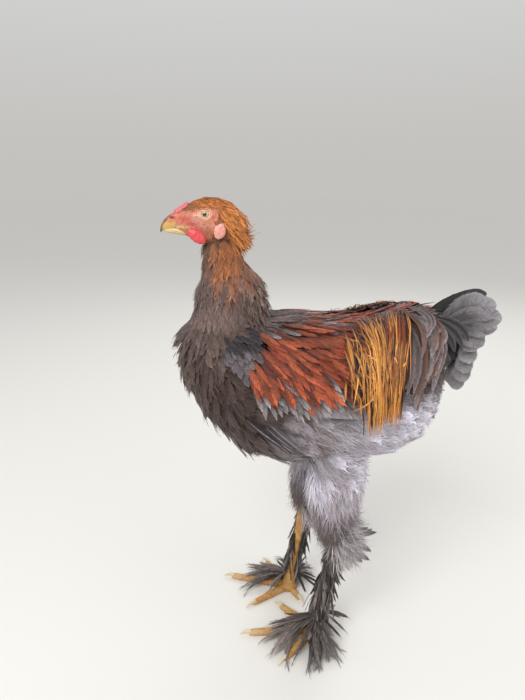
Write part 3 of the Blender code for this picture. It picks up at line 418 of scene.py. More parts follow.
def body_colour(points):
    """Ground colour of the body coat at points of the skin: dark breast, mauve neck, pale vent,
    with painted shade under the wing and on the lower thigh and a painted highlight on the thigh.
    """
    x = points[:, 0]
    z = points[:, 2]
    patch = np.clip(waves(points, 90.0, 1) * 0.5 + 0.5, 0.0, 1.0)
    colour = blend(BREAST_DARK, BREAST_MID, patch * 0.6 + 0.4 * smooth_step(z, 0.33, 0.43))
    neck = smooth_step(z, 0.425, 0.470)
    colour = blend(colour, blend(NECK_DARK, NECK_MAUVE, np.clip(patch + 0.3, 0.0, 1.0)), neck)
    colour = blend(colour, THROAT_BROWN, smooth_step(z, 0.515, 0.545) * 0.8)
    pale = smooth_step(x, -0.105, -0.015) * smooth_step(-z, -0.390, -0.350)
    blotch = np.clip(waves(points, 130.0, 15) * 0.9 + 0.5, 0.0, 1.0)
    grey = blend(BELLY_GREY, BELLY_LILAC, np.clip(blotch * 0.6 + smooth_step(x, -0.03, 0.05) * 0.5, 0, 1))
    colour = blend(colour, grey, pale)
    # Painted shade under the wing, on the flank above the thigh
    shade = np.exp(-((x + 0.045) / 0.050) ** 2 - ((z - 0.348) / 0.016) ** 2)
    colour = blend(colour, THIGH_PAINTED_SHADE, np.clip(shade, 0.0, 1.0) * 0.2)
    leg = smooth_step(-z, -0.285, -0.255) * smooth_step(x, -0.075, -0.045)
    # Painted highlight on the upper middle of the thigh
    painted_highlight = np.exp(-((x + 0.040) / 0.028) ** 2 - ((z - 0.262) / 0.035) ** 2)
    upper = blend(THIGH_GREY, THIGH_PALE, np.clip(blotch * 0.75 + painted_highlight * 0.5, 0.0, 1.0))
    # Painted shade, darker and browner towards the bottom of the thigh
    return blend(colour, blend(upper, THIGH_PAINTED_SHADE, smooth_step(-z, -0.248, -0.190) * 0.9), leg)


def paint_vertices(mesh, colours):
    """Store one colour for each vertex, which the materials read as Plumage."""
    layer = mesh.color_attributes.new("Plumage", "FLOAT_COLOR", "POINT")
    values = np.ones((len(mesh.vertices), 4), np.float32)
    values[:, :3] = colours
    layer.data.foreach_set("color", values.ravel())


def colour_and_place(tree):
    """Outputs of the colour stored as Plumage and of the place on the object, in metres."""
    plumage = add_node(tree, "Attribute", attribute_name="Plumage")
    place = add_node(tree, "TexCoord")
    return plumage.outputs["Color"], place.outputs["Object"]


def add_bump(tree, shader, height, strength, distance):
    """Bumps on the shader's surface from a height output."""
    bump = add_node(tree, "Bump", {"Strength": strength, "Distance": distance}, {"Height": height})
    tree.links.new(bump.outputs["Normal"], shader.inputs["Normal"])


# Bare skin under feathers: matt, finely pitted where quills come through, about 2 mm apart
under_skin, tree, shader = new_material("feathered_skin", roughness=0.8, specular=0.2)
plumage, place = colour_and_place(tree)
pits = add_node(tree, "TexVoronoi", {"Scale": 500.0}, {"Vector": place})
darker = add_node(
    tree, "Mix", {"B": (0.35, 0.3, 0.28, 1.0)}, {"Factor": pits.outputs["Distance"], "A": plumage},
    data_type="RGBA", blend_type="MULTIPLY")
tree.links.new(darker.outputs["Result"], shader.inputs["Base Color"])
add_bump(tree, shader, pits.outputs["Distance"], strength=0.4, distance=0.0006)
points = vertex_rows(skin.data)
# Painted shade: darker than the feathers over it, but not at the throat, where they are short
painted_shade_gain = 0.45 + 0.6 * smooth_step(points[:, 2:], 0.530, 0.546)
paint_vertices(skin.data, body_colour(points) * painted_shade_gain)
body_surface = surface_of(skin)
hand_over(skin, under_skin, "body_feathers", "torso", "neck", "thigh_left", "thigh_right")

# Breast and belly coat
# Short contour feathers over the breast, flanks and belly, each a small vane with loose barbs that
# stand out at its edge. They lie down over the breast and back along the flanks.
VANE_ROWS = np.array((0.0, 0.3, 0.6, 0.85))
SLIVER_ROWS = np.array((0.0, 0.5))
LONG_ROWS = np.array((0.0, 0.12, 0.28, 0.45, 0.62, 0.78, 0.92))
UV_PATCH = 0.003


def unit(vectors):
    """The vectors, one in each row, made one long."""
    return vectors / np.maximum(np.linalg.norm(vectors, axis=-1, keepdims=True), 1e-9)


def lay(direction, normals):
    """A direction for each root, laid into the surface there."""
    direction = np.broadcast_to(direction, normals.shape)
    return unit(direction - normals * np.sum(direction * normals, axis=1, keepdims=True))


def scatter(surface, spacing, seed, wanted):
    """Roots about a spacing apart on a surface, with normals, where wanted says so."""
    corners, corner_normals = surface
    draw = np.random.default_rng(seed)
    area = np.linalg.norm(np.cross(corners[:, 1] - corners[:, 0], corners[:, 2] - corners[:, 0]), axis=1)
    area = np.where(wanted(corners.mean(axis=1)), area, 0.0)
    # Three tries for each cell of the spacing's size, and the first root in each cell stays
    count = int(area.sum() / 2.0 / spacing ** 2 * 3.0)
    chosen = draw.choice(len(area), count, p=area / area.sum())
    a = np.sqrt(draw.random(count))
    b = draw.random(count)
    weights = np.stack((1.0 - a, a * (1.0 - b), a * b), axis=1)[:, :, None]
    points = (corners[chosen] * weights).sum(axis=1)
    normals = unit((corner_normals[chosen] * weights).sum(axis=1))
    cells = np.floor(points / spacing).astype(np.int64)
    keys = cells[:, 0] * 4000003 + cells[:, 1] * 2003 + cells[:, 2]
    _, first = np.unique(keys, return_index=True)
    first.sort()
    return points[first], normals[first]


def vanes(centres, ups, width, rows, outline, paint, patch_uv, roll=0.0, camber=0.10, thick=0.0003):
    """One closed feather along each line of centres, as arrays: a ridge with an edge either side.

    Outline gives the share of the width and paint the colour at a place along the feather."""
    n = len(centres)
    r = len(rows)
    width, roll = (np.broadcast_to(np.asarray(v, float), (n,))[:, None] for v in (width, roll))
    stops = np.append(rows, 1.0)
    steps = np.diff(centres, axis=1)
    run = np.linalg.norm(steps, axis=2)
    gone = np.concatenate((np.zeros((n, 1)), np.cumsum(run, axis=1)), axis=1)
    tangent = unit(steps)
    tangent[:, 1:] += unit(steps)[:, :-1]
    tangent = unit(tangent)
    across = unit(np.cross(tangent, ups))
    normal = np.cross(across, tangent)
    turned = across * np.cos(roll)[..., None] + normal * np.sin(roll)[..., None]
    normal = np.cross(turned, tangent)
    half = (width * outline(rows) / 2.0)[..., None]
    rim = turned * half
    drop = normal * (half * 2.0 * camber)
    points = np.empty((n, 3 * r + 1, 3))
    points[:, 0:3 * r:3] = centres[:, :r] - rim - drop
    points[:, 1:3 * r:3] = centres[:, :r] + normal * (thick * (1.0 - 0.5 * rows))[None, :, None]
    points[:, 2:3 * r:3] = centres[:, :r] + rim - drop
    points[:, -1] = centres[:, -1]
    colours = np.empty((n, 3 * r + 1, 3))
    flat = np.zeros((n, 3 * r + 1, 2))
    for k, t in enumerate(rows):
        colours[:, 3 * k + 1] = paint(t, 0.0)
        colours[:, 3 * k] = colours[:, 3 * k + 2] = paint(t, 1.0)
        for j, sign in ((0, -1.0), (1, 0.0), (2, 1.0)):
            flat[:, 3 * k + j, 0] = half[:, k, 0] * sign * 1000.0
            flat[:, 3 * k + j, 1] = gone[:, k] * 1000.0
    colours[:, -1] = paint(1.0, 0.5)
    flat[:, -1, 1] = gone[:, -1] * 1000.0
    spot = np.empty((n, 3 * r + 1, 2))
    spot[:, :-1, 0] = np.tile((-0.5, 0.0, 0.5), r)
    spot[:, :-1, 1] = np.repeat(stops[:-1], 3) - 0.5
    spot[:, -1] = (0.0, 0.5)
    baked = patch_uv[:, None] + spot * UV_PATCH
    quads = []
    for k in range(r - 1):
        a = 3 * k
        b = a + 3
        quads += [(a + 1, b + 1, b, a), (a + 2, b + 2, b + 1, a + 1), (a, b, b + 2, a + 2)]
    a = 3 * (r - 1)
    triangles = [(0, 2, 1), (a + 1, 3 * r, a), (a + 2, 3 * r, a + 1), (a, 3 * r, a + 2)]
    start = (np.arange(n) * (3 * r + 1))[:, None, None]
    return (
        points.reshape(-1, 3), colours.reshape(-1, 3), flat.reshape(-1, 2), baked.reshape(-1, 2),
        (np.array(quads)[None] + start).reshape(-1, 4), (np.array(triangles)[None] + start).reshape(-1, 3))


def arc(root, ahead, up, length, rows, lift, bend, sweep):
    """Centre lines that leave the skin at each root: lift and bend turn them off it and back down,
    and sweep turns them sideways."""
    n = len(root)
    length, lift, bend, sweep = (
        np.broadcast_to(np.asarray(v, float), (n,))[:, None] for v in (length, lift, bend, sweep))
    side = np.cross(ahead, up)
    stops = np.append(rows, 1.0)
    middles = (stops[1:] + stops[:-1]) / 2.0
    pitch = lift - bend * middles
    yaw = sweep * middles
    along = np.cos(yaw)[..., None] * ahead[:, None] + np.sin(yaw)[..., None] * side[:, None]
    steps = np.cos(pitch)[..., None] * along + np.sin(pitch)[..., None] * up[:, None]
    moved = np.cumsum(steps * (length * np.diff(stops))[..., None], axis=1)
    return np.concatenate((root[:, None], root[:, None] + moved), axis=1)


def grow(
        root, ahead, up, length, width, rows, outline, paint, patch_uv, lift=0.2, bend=0.4, sweep=0.0,
        roll=0.0, camber=0.10, thick=0.0003):
    """One feather along an arc from each root."""
    centres = arc(root, ahead, up, length, rows, lift, bend, sweep)
    return vanes(centres, up[:, None], width, rows, outline, paint, patch_uv, roll, camber, thick)


def barbs(
        draw, centres, ups, width, per_feather, ground, uv, slant=2.0, reach=0.95, first=0.2,
        barb_width=0.0012, tip_light=0.3, vary=0.3):
    """Loose barbs along both edges of each feather, that fray its outline.

    Slant is how much more they point along the feather than out from it, and reach their length
    as a share of the feather's width. The ground colour has one row for each feather."""
    n, count = centres.shape[:2]
    rows = np.arange(n)
    batches = []
    for _ in range(per_feather):
        t = draw.uniform(first, 0.97, n)
        index = np.minimum((t * (count - 1)).astype(int), count - 2)
        part = (t * (count - 1) - index)[:, None]
        spot = centres[rows, index] * (1.0 - part) + centres[rows, index + 1] * part
        tangent = unit(centres[rows, index + 1] - centres[rows, index])
        up = ups if ups.ndim == 2 else ups[rows, np.minimum(index, ups.shape[1] - 1)]
        across = unit(np.cross(tangent, up)) * draw.choice((-1.0, 1.0), (n, 1))
        way = unit(tangent * slant * draw.uniform(0.6, 1.4, (n, 1)) + across)
        start = spot + across * (width * 0.10)[:, None] + up * 0.0005
        shade = ground * draw.uniform(1.0 - vary, 1.0 + vary, (n, 1)) * (1.0 + tip_light * t[:, None])
        outward = np.cross(across, tangent)
        outward = unit(outward * np.sign(np.sum(outward * up, axis=1, keepdims=True)))
        batches.append(grow(
            start, way, outward, width * reach * draw.uniform(0.7, 1.2, n),
            barb_width * draw.uniform(0.7, 1.3, n), SLIVER_ROWS,
            sliver, plain_paint(shade, root_shade=0.85, tip_gain=1.15, edge_gain=1.0), uv, lift=0.10,
            bend=0.25, sweep=draw.normal(0.0, 0.15, n), roll=draw.normal(0.0, 0.3, n), camber=0.05,
            thick=0.0002))
    return batches


def coat_piece(name, batches):
    """One object from several batches of feathers."""
    points, colours, flat, baked = (np.concatenate([b[k] for b in batches]) for k in range(4))
    starts = np.cumsum([0] + [len(b[0]) for b in batches])
    quads, triangles = (np.concatenate([b[k] + start for b, start in zip(batches, starts)]) for k in (4, 5))
    corners = np.concatenate((quads.ravel(), triangles.ravel()))
    totals = np.repeat((4, 3), (len(quads), len(triangles)))
    mesh = bpy.data.meshes.new(name)
    mesh.vertices.add(len(points))
    mesh.vertices.foreach_set("co", points.astype(np.float32).ravel())
    mesh.loops.add(len(corners))
    mesh.loops.foreach_set("vertex_index", corners.astype(np.int32))
    mesh.polygons.add(len(totals))
    mesh.polygons.foreach_set("loop_start", (np.cumsum(totals) - totals).astype(np.int32))
    mesh.polygons.foreach_set("loop_total", totals.astype(np.int32))
    mesh.update(calc_edges=True)
    mesh.shade_smooth()
    mesh.set_sharp_from_angle(angle=math.radians(70.0))
    for layer_name, values in (("OFBake", baked), ("Vane", flat)):
        layer = mesh.uv_layers.new(name=layer_name)
        layer.data.foreach_set("uv", values[corners].astype(np.float32).ravel())
    paint_vertices(mesh, np.clip(colours, 0.0, 1.0))
    return add_object(name, mesh)


def feather_material(name, roughness, barb_contrast, shaft_light, sheen):
    """Keratin barbs zipped into a vane: fine slanting lines either side of a smoother shaft.

    Real barbs are 0.1 mm apart; they are drawn 0.5 mm apart so that the picture shows them."""
    material, tree, shader = new_material(name, roughness, specular=0.35)
    shader.inputs["Sheen Weight"].default_value = sheen
    shader.inputs["Sheen Roughness"].default_value = 0.4
    plumage, place = colour_and_place(tree)

    def maths(operation, *terms):
        """Output of a calculation with values and other outputs."""
        values = {k: term for k, term in enumerate(terms) if isinstance(term, float)}
        links = {k: term for k, term in enumerate(terms) if k not in values}
        return add_node(tree, "Math", values, links, operation=operation).outputs[0]

    vane = add_node(tree, "UVMap", uv_map="Vane")
    parts = add_node(tree, "SeparateXYZ", links={"Vector": vane.outputs["UV"]})
    out = maths("ABSOLUTE", parts.outputs["X"])
    slant = maths("MULTIPLY_ADD", out, -1.4, parts.outputs["Y"])
    barbs_at = add_node(tree, "CombineXYZ", links={"X": slant, "Y": maths("MULTIPLY", out, 0.12)})
    spots = add_node(tree, "TexNoise", {"Scale": 260.0, "Detail": 2.0}, {"Vector": place})
    barbs = add_node(
        tree, "TexNoise", {"Scale": 1.9, "Detail": 2.0, "Roughness": 0.7}, {"Vector": barbs_at.outputs[0]})
    both = maths("ADD", barbs.outputs["Fac"], spots.outputs["Fac"], 0.0)
    level = add_node(
        tree, "MapRange", {"From Min": 0.7, "From Max": 1.3, "To Min": 1.0 - barb_contrast,
        "To Max": 1.0 + barb_contrast}, {"Value": both})
    shaft = add_node(
        tree, "MapRange", {"From Min": 0.12, "From Max": 0.45, "To Min": shaft_light, "To Max": 1.0},
        {"Value": out})
    gain = maths("MULTIPLY", level.outputs[0], shaft.outputs[0])
    scaled = add_node(tree, "VectorMath", links={0: plumage, "Scale": gain}, operation="SCALE")
    tree.links.new(scaled.outputs[0], shader.inputs["Base Color"])
    add_bump(tree, shader, barbs.outputs["Fac"], strength=0.5, distance=0.0003)
    return material


def leaf(t):
    """Outline of a rounded body feather."""
    return np.interp(t, (0.0, 0.15, 0.45, 0.75, 0.92, 1.0), (0.35, 0.75, 1.0, 0.9, 0.5, 0.1))


def lance(t):
    """Outline of a pointed hackle."""
    return np.interp(t, (0.0, 0.2, 0.5, 0.8, 1.0), (0.5, 0.9, 1.0, 0.62, 0.1))


def sliver(t):
    """Outline of one loose barb or lock of barbs."""
    return np.interp(t, (0.0, 0.5, 1.0), (0.8, 1.0, 0.1))


def cylinder_uv(points, axis, low, high):
    """Unwrap of roots round an axis: the angle about it and the place along it."""
    others = [k for k in range(3) if k != axis]
    middle = points.mean(axis=0)
    angle = np.arctan2(points[:, others[0]] - middle[others[0]], points[:, others[1]] - middle[others[1]])
    along = (points[:, axis] - low) / (high - low)
    return np.stack((0.02 + 0.96 * (angle / (2.0 * math.pi) + 0.5), 0.02 + 0.96 * np.clip(along, 0, 1)), 1)


def plain_paint(ground, root_shade, tip_gain, edge_gain):
    """A paint that darkens the root and lightens the tip and the edge of a feather."""
    def paint(t, across):
        gain = root_shade + (1.0 - root_shade) * min(t * 2.0, 1.0)
        gain = gain * (1.0 + (tip_gain - 1.0) * t ** 3) * (1.0 + (edge_gain - 1.0) * across)
        return ground * gain
    return paint


def fringed(
        points, normals, ahead, ground, uv, draw, length, width, loose, lift, bend, tip_gain=1.3,
        edge_gain=1.1, outline=leaf, slant=2.0, reach=0.95, barb_width=0.0012, turn=0.14):
    """A vane at each root with loose barbs along its edges."""
    n = len(points)
    tone = ground * draw.uniform(0.75, 1.25, (n, 1))
    lift = lift * draw.uniform(0.6, 1.4, n)
    widths = width * draw.uniform(0.8, 1.2, n)
    centres = arc(
        points, ahead, normals, length * draw.uniform(0.8, 1.2, n), VANE_ROWS, lift, bend,
        draw.normal(0.0, turn, n))
    batches = [vanes(
        centres, normals[:, None], widths, VANE_ROWS, outline,
        plain_paint(tone, root_shade=0.45, tip_gain=tip_gain, edge_gain=edge_gain), uv,
        draw.normal(0.0, 0.15, n))]
    return batches + barbs(
        draw, centres, normals, widths, loose, tone, uv, slant, reach, barb_width=barb_width,
        tip_light=(tip_gain - 1.0) * 1.2)


def combed(
        draw, centres, ups, widths, rows, outline, paint, uv, per_side, sweep=0.16, camber=0.12, fray=0.06,
        barb_width=0.0010, vary=0.10):
    """Feathers with every barb drawn, from the shaft to the outline, so that the edge is soft."""
    n = len(centres)
    stops = np.append(rows, 1.0)
    ups = np.broadcast_to(ups, (n, len(rows), 3))

    def place(t):
        """Points on the shafts at a place along them, with the ways across and outwards there."""
        k = min(int(np.searchsorted(stops, t, side="right")) - 1, len(rows) - 1)
        step = centres[:, k + 1] - centres[:, k]
        across = unit(np.cross(step, ups[:, k]))
        spot = centres[:, k] + step * (t - stops[k]) / (stops[k + 1] - stops[k])
        return spot, across, unit(np.cross(across, step))

    batches = [vanes(centres, ups, widths * 0.9, rows, outline, paint, uv, roll=0.0, camber=camber)]
    for hand in (-1.0, 1.0):
        for t in np.linspace(0.03, 0.97, per_side):
            far = min(t + sweep * (1.0 - 0.75 * t), 1.0)
            start, _, start_up = place(t)
            end, across, end_up = place(far)
            half = (widths * outline(far) / 2.0 * draw.uniform(1.0 - fray, 1.0 + fray, n))[:, None]
            start = start + start_up * 0.0006
            end = end + across * half * hand - end_up * half * 2.0 * camber
            middle = start * 0.45 + end * 0.55 + across * half * hand * 0.10 + end_up * 0.0005
            tone = draw.uniform(1.0 - vary, 1.0 + vary, (n, 1))
            batches.append(vanes(
                np.stack((start, middle, end), axis=1), end_up[:, None],
                barb_width * draw.uniform(0.8, 1.2, n), SLIVER_ROWS, sliver,
                two_tone(paint(t, 0.0) * tone, paint(far, 1.0) * tone), uv, roll=0.0, camber=0.05,
                thick=0.0002))
    return batches


def two_tone(root, tip):
    """A paint from one colour to another along the feather."""
    def paint(t, across):
        return blend(root, tip, t)
    return paint


def down(draw, points, normals, ahead, ground, uv, length, per_root, spread, lift, bend, width=0.0007):
    """Locks of silky barbs without a vane, several from each root."""
    n = len(points)
    batches = []
    for _ in range(per_root):
        way = lay(ahead + draw.normal(0.0, spread, (n, 3)), normals)
        roots = points + way * draw.uniform(0.0, 0.004, (n, 1))
        lengths = length * draw.uniform(0.6, 1.15, n)
        widths = width * draw.uniform(0.7, 1.3, n)
        paint = plain_paint(
            ground * draw.uniform(0.86, 1.14, (n, 1)), root_shade=0.72, tip_gain=1.2, edge_gain=1.0)
        batches.append(grow(
            roots, way, normals, lengths, widths, SLIVER_ROWS, sliver, paint, uv,
            lift * draw.uniform(0.2, 1.5, n), bend, draw.normal(0.0, 0.25, n), draw.normal(0.0, 0.4, n),
            camber=0.05, thick=0.0002))
    return batches


def body_lie(points):
    """Which way the coat lies: down over the breast, back and a little down along the body."""
    front = smooth_step(-points[:, 0], 0.08, 0.17)
    return unit(blend((1.0, 0.0, -0.42), (0.22, 0.0, -1.0), front))


def covered_by_wing(points):
    """True under the wing and the saddle, where other feathers lie."""
    x = points[:, 0]
    z = points[:, 2]
    wing = (x > -0.098) & (x < 0.10) & (z > 0.388)
    return wing | ((z > 0.425) & (x > -0.06))


def breast_wanted(points):
    """Torso skin outside the wing, the neck and the legs."""
    z = points[:, 2]
    neck = (z > 0.452) & (points[:, 0] < -0.05)
    return (z > 0.266) & ~covered_by_wing(points) & ~neck


soft_feather = feather_material(
    "soft_contour_feather", roughness=0.75, barb_contrast=0.22, shaft_light=1.12, sheen=0.3)
for side, sign in SIDES.items():
    draw = np.random.default_rng(11 if sign < 0 else 12)
    points, normals = scatter(
        body_surface, spacing=0.0078, seed=21 if sign < 0 else 22,
        wanted=lambda p: breast_wanted(p) & (p[:, 1] * sign >= 0.0))
    ahead = lay(body_lie(points) + draw.normal(0.0, 0.10, points.shape), normals)
    ground = body_colour(points + ahead * 0.012)
    uv = cylinder_uv(points, axis=0, low=-0.2, high=0.15)
    batches = fringed(
        points, normals, ahead, ground, uv, draw, length=0.0260, width=0.0140, loose=9, lift=0.27, bend=0.44,
        tip_gain=1.35, edge_gain=1.15, outline=leaf, slant=2.6, reach=0.75, barb_width=0.0008)
    # Longer ragged ones that hang off the lower breast
    ragged = (points[:, 0] < -0.09) & (points[:, 0] > -0.172) & (draw.random(len(points)) < 0.20)
    batches += fringed(
        points[ragged], normals[ragged], ahead[ragged], ground[ragged] * 1.15, uv[ragged], draw,
        length=0.034, width=0.0100, loose=10, lift=0.36, bend=0.50, tip_gain=1.4, edge_gain=1.1,
        outline=lance, slant=3.0, reach=0.9, barb_width=0.0008)
    hand_over(coat_piece("body_coat_" + side, batches), soft_feather, "body_feathers")
    # Soft down over the flank and the vent, shorter at the rear
    points, normals = scatter(
        body_surface, spacing=0.0056, seed=25, wanted=lambda p: breast_wanted(p) & (p[:, 1] * sign >= 0.0)
        & (p[:, 0] > -0.035) & (p[:, 2] < 0.40))
    ahead = lay(np.array((1.0, 0.0, -0.55)) + draw.normal(0.0, 0.16, points.shape), normals)
    ground = body_colour(points + ahead * 0.012) * 1.05
    uv = cylinder_uv(points, axis=0, low=-0.05, high=0.15)
    length = np.interp(points[:, 0], (0.02, 0.08), (0.030, 0.020))
    batches = down(
        draw, points, normals, ahead, ground, uv, length, per_root=9, spread=0.22,
        lift=np.interp(points[:, 0], (0.02, 0.08), (0.42, 0.25)), bend=0.55)
    hand_over(coat_piece("vent_down_" + side, batches), soft_feather, "body_feathers")

# Neck hackles
# Soft mauve-grey pointed feathers from throat to shoulders, orange-brown and buff near the head,
# with ragged tips that stand out behind. They are thin, loose-barbed and overlap like thatch.
NECK_BUFF = linear("A98F7C")
STRAY_DARK = linear("2A2120")
neck_points, neck_normals = scatter(
    body_surface, spacing=0.0048, seed=31, wanted=lambda p: (p[:, 2] > 0.447) & (p[:, 0] < -0.055)
    & (p[:, 2] < 0.5535) & ~((p[:, 2] > 0.5480) & (p[:, 0] < -0.1340) & (np.abs(p[:, 1]) > 0.006)))
draw = np.random.default_rng(32)
count = len(neck_points)
outward = unit(
    neck_points - np.stack((np.full(count, -0.129), neck_points[:, 1] * 0.0, neck_points[:, 2]), axis=1))
ahead = lay(
    unit(np.array((0.10, 0.0, -1.0)) + outward * 0.35 + draw.normal(0.0, 0.07, (count, 3))), neck_normals)
ground = body_colour(neck_points)
streak = waves(neck_points * np.array((1.0, 1.0, 0.15)), 420.0, 5)
ground = ground * (1.0 + 0.16 * streak[:, None])
tall = neck_points[:, 2] + draw.normal(0.0, 0.008, count)
orange_part = smooth_step(tall, 0.500, 0.535) * smooth_step(neck_points[:, 0], -0.152, -0.138)
ground = blend(ground, NECK_ORANGE, orange_part * draw.uniform(0.4, 1.0, count))
buff = (
    smooth_step(tall, 0.487, 0.512) * smooth_step(neck_points[:, 0], -0.118, -0.100)
    * (draw.random(count) < 0.35))
ground = blend(ground, NECK_BUFF, buff * 0.8)
uv = cylinder_uv(neck_points, axis=2, low=0.43, high=0.57)
behind = smooth_step(neck_points[:, 0], -0.118, -0.095)
throat = smooth_step(neck_points[:, 2], 0.536, 0.546) * smooth_step(-neck_points[:, 0], 0.122, 0.134)
batches = fringed(
    neck_points, neck_normals, ahead, ground, uv, draw, 0.0250 - 0.011 * throat, width=0.0082, loose=9,
    lift=0.24 + 0.14 * behind, bend=0.32, tip_gain=1.2, edge_gain=1.1, outline=lance, slant=2.6, reach=1.0,
    barb_width=0.0009, turn=0.10)
# Thin dark curved feathers that stray from the back of the neck
stray = (behind > 0.5) & (neck_points[:, 2] > 0.465) & (draw.random(count) < 0.05)
batches.append(grow(
    neck_points[stray], ahead[stray], neck_normals[stray], length=0.034, width=0.0020, rows=LONG_ROWS,
    outline=lance, paint=plain_paint(STRAY_DARK, root_shade=0.9, tip_gain=1.3, edge_gain=1.0),
    patch_uv=uv[stray], lift=0.55, bend=0.9, sweep=draw.normal(0.0, 0.3, stray.sum())))
hand_over(coat_piece("neck_hackles", batches), soft_feather, "neck_feathers")

# Thigh fluff
# Long, silky down round both thighs, pale lilac in blotches with a painted highlight on top, and
# browner and darker below as painted shade. It has no zipped vanes, only loose barbs, so it is made
# of thin locks that hang and curl in at the tip.
for side, sign in SIDES.items():
    draw = np.random.default_rng(41 if sign < 0 else 42)
    points, normals = scatter(
        body_surface, spacing=0.0046, seed=43, wanted=lambda p: (p[:, 2] <= 0.275) & (p[:, 1] * sign >= 0.0)
        & (np.abs(p[:, 1]) > 0.008))
    drift = waves(points, 120.0, 44)[:, None] * np.array((0.45, 0.20, 0.0))
    ahead = lay(np.array((0.12, 0.0, -1.0)) + drift + draw.normal(0.0, 0.12, points.shape), normals)
    ground = body_colour(points - np.array((0.0, 0.0, 0.010)))
    uv = cylinder_uv(points, axis=2, low=0.15, high=0.30)
    batches = down(
        draw, points, normals, ahead, ground, uv, length=0.034, per_root=13, spread=0.20, lift=0.50,
        bend=0.62)
    hand_over(coat_piece("thigh_coat_" + side, batches), soft_feather, "thigh_fluff")

# Wings
# Folded wings: rows of rust-red coverts that run down and back, black and scaly at the shoulder,
# with a lowest row of grey ones with pale edges. Lilac-grey flight feathers lie below them.
WING_RED = linear("7E3520")
WING_ORANGE = linear("9C4E2E")
WING_MAROON = linear("50231A")
SLATE = linear("5C5256")
SLATE_PALE = linear("8A7F83")
COVERT_EDGE = linear("C9BFBE")
INK = linear("1D1718")
FLIGHT_LILAC = linear("8B828A")
FLIGHT_COUNT = 7
FLIGHT_WIDTH = 0.0150
FLANK_COUNT = 6
FLANK_WIDTH = 0.0085
SHAFT_WIDTH = 0.0008
COVERT_SPACING = 0.0058
# Share of grey coverts in each row, from the lowest up
SLATY_SHARE = (1.0, 0.55, 0.12, 0.04, 0.03, 0.03, 0.04, 0.10, 0.20)
WING_ROWS = len(SLATY_SHARE)
# Places along X and the heights there of the lowest row of coverts
WING_FOOT = ((-0.130, -0.110, -0.090, -0.060, 0.030), (0.422, 0.410, 0.399, 0.394, 0.396))
WING_TOP = 0.453


def back_point(x, angle, lift):
    """Points over the torso at an angle down from the crest of the back, and raised."""
    low, high, half = read_table(TORSO, x, 1, 2, 3)
    high = high + crest_raise(x)
    c = np.cos(angle)
    s = np.sin(angle)
    y = (half + lift) * np.sign(s) * np.abs(s) ** (2.0 / TORSO_POWER)
    z = (low + high) / 2.0 + ((high - low) / 2.0 + lift) * np.sign(c) * np.abs(c) ** (2.0 / TORSO_POWER)
    return np.stack(np.broadcast_arrays(x, y, z), axis=-1)


def flank_point(x, z, lift, sign):
    """Points over the torso's side at x and z, and raised."""
    low, high, half = read_table(TORSO, x, 1, 2, 3)
    rise = np.minimum(np.abs(z - (low + high) / 2.0) / ((high - low) / 2.0), 0.995)
    y = sign * (half * (1.0 - rise ** TORSO_POWER) ** (1.0 / TORSO_POWER) + lift)
    return np.stack(np.broadcast_arrays(x, y, z), axis=-1)


def flank_normals(x, z, sign):
    """Outward direction of the torso's side."""
    d = 0.004
    along = flank_point(x + d, z, 0.0, sign) - flank_point(x - d, z, 0.0, sign)
    upward = flank_point(x, z + d, 0.0, sign) - flank_point(x, z - d, 0.0, sign)
    normals = unit(np.cross(along, upward))
    return normals * np.sign(normals[:, 1:2] * sign)


def three_tone(root, middle, tip, edge, edge_share):
    """A paint from root through middle to tip, with another colour towards the edges."""
    def paint(t, across):
        ground = blend(root, middle, min(t * 2.2, 1.0))
        ground = blend(ground, tip, max(t * 2.2 - 1.2, 0.0))
        return blend(ground, edge, edge_share * across * min(t * 2.0, 1.0))
    return paint


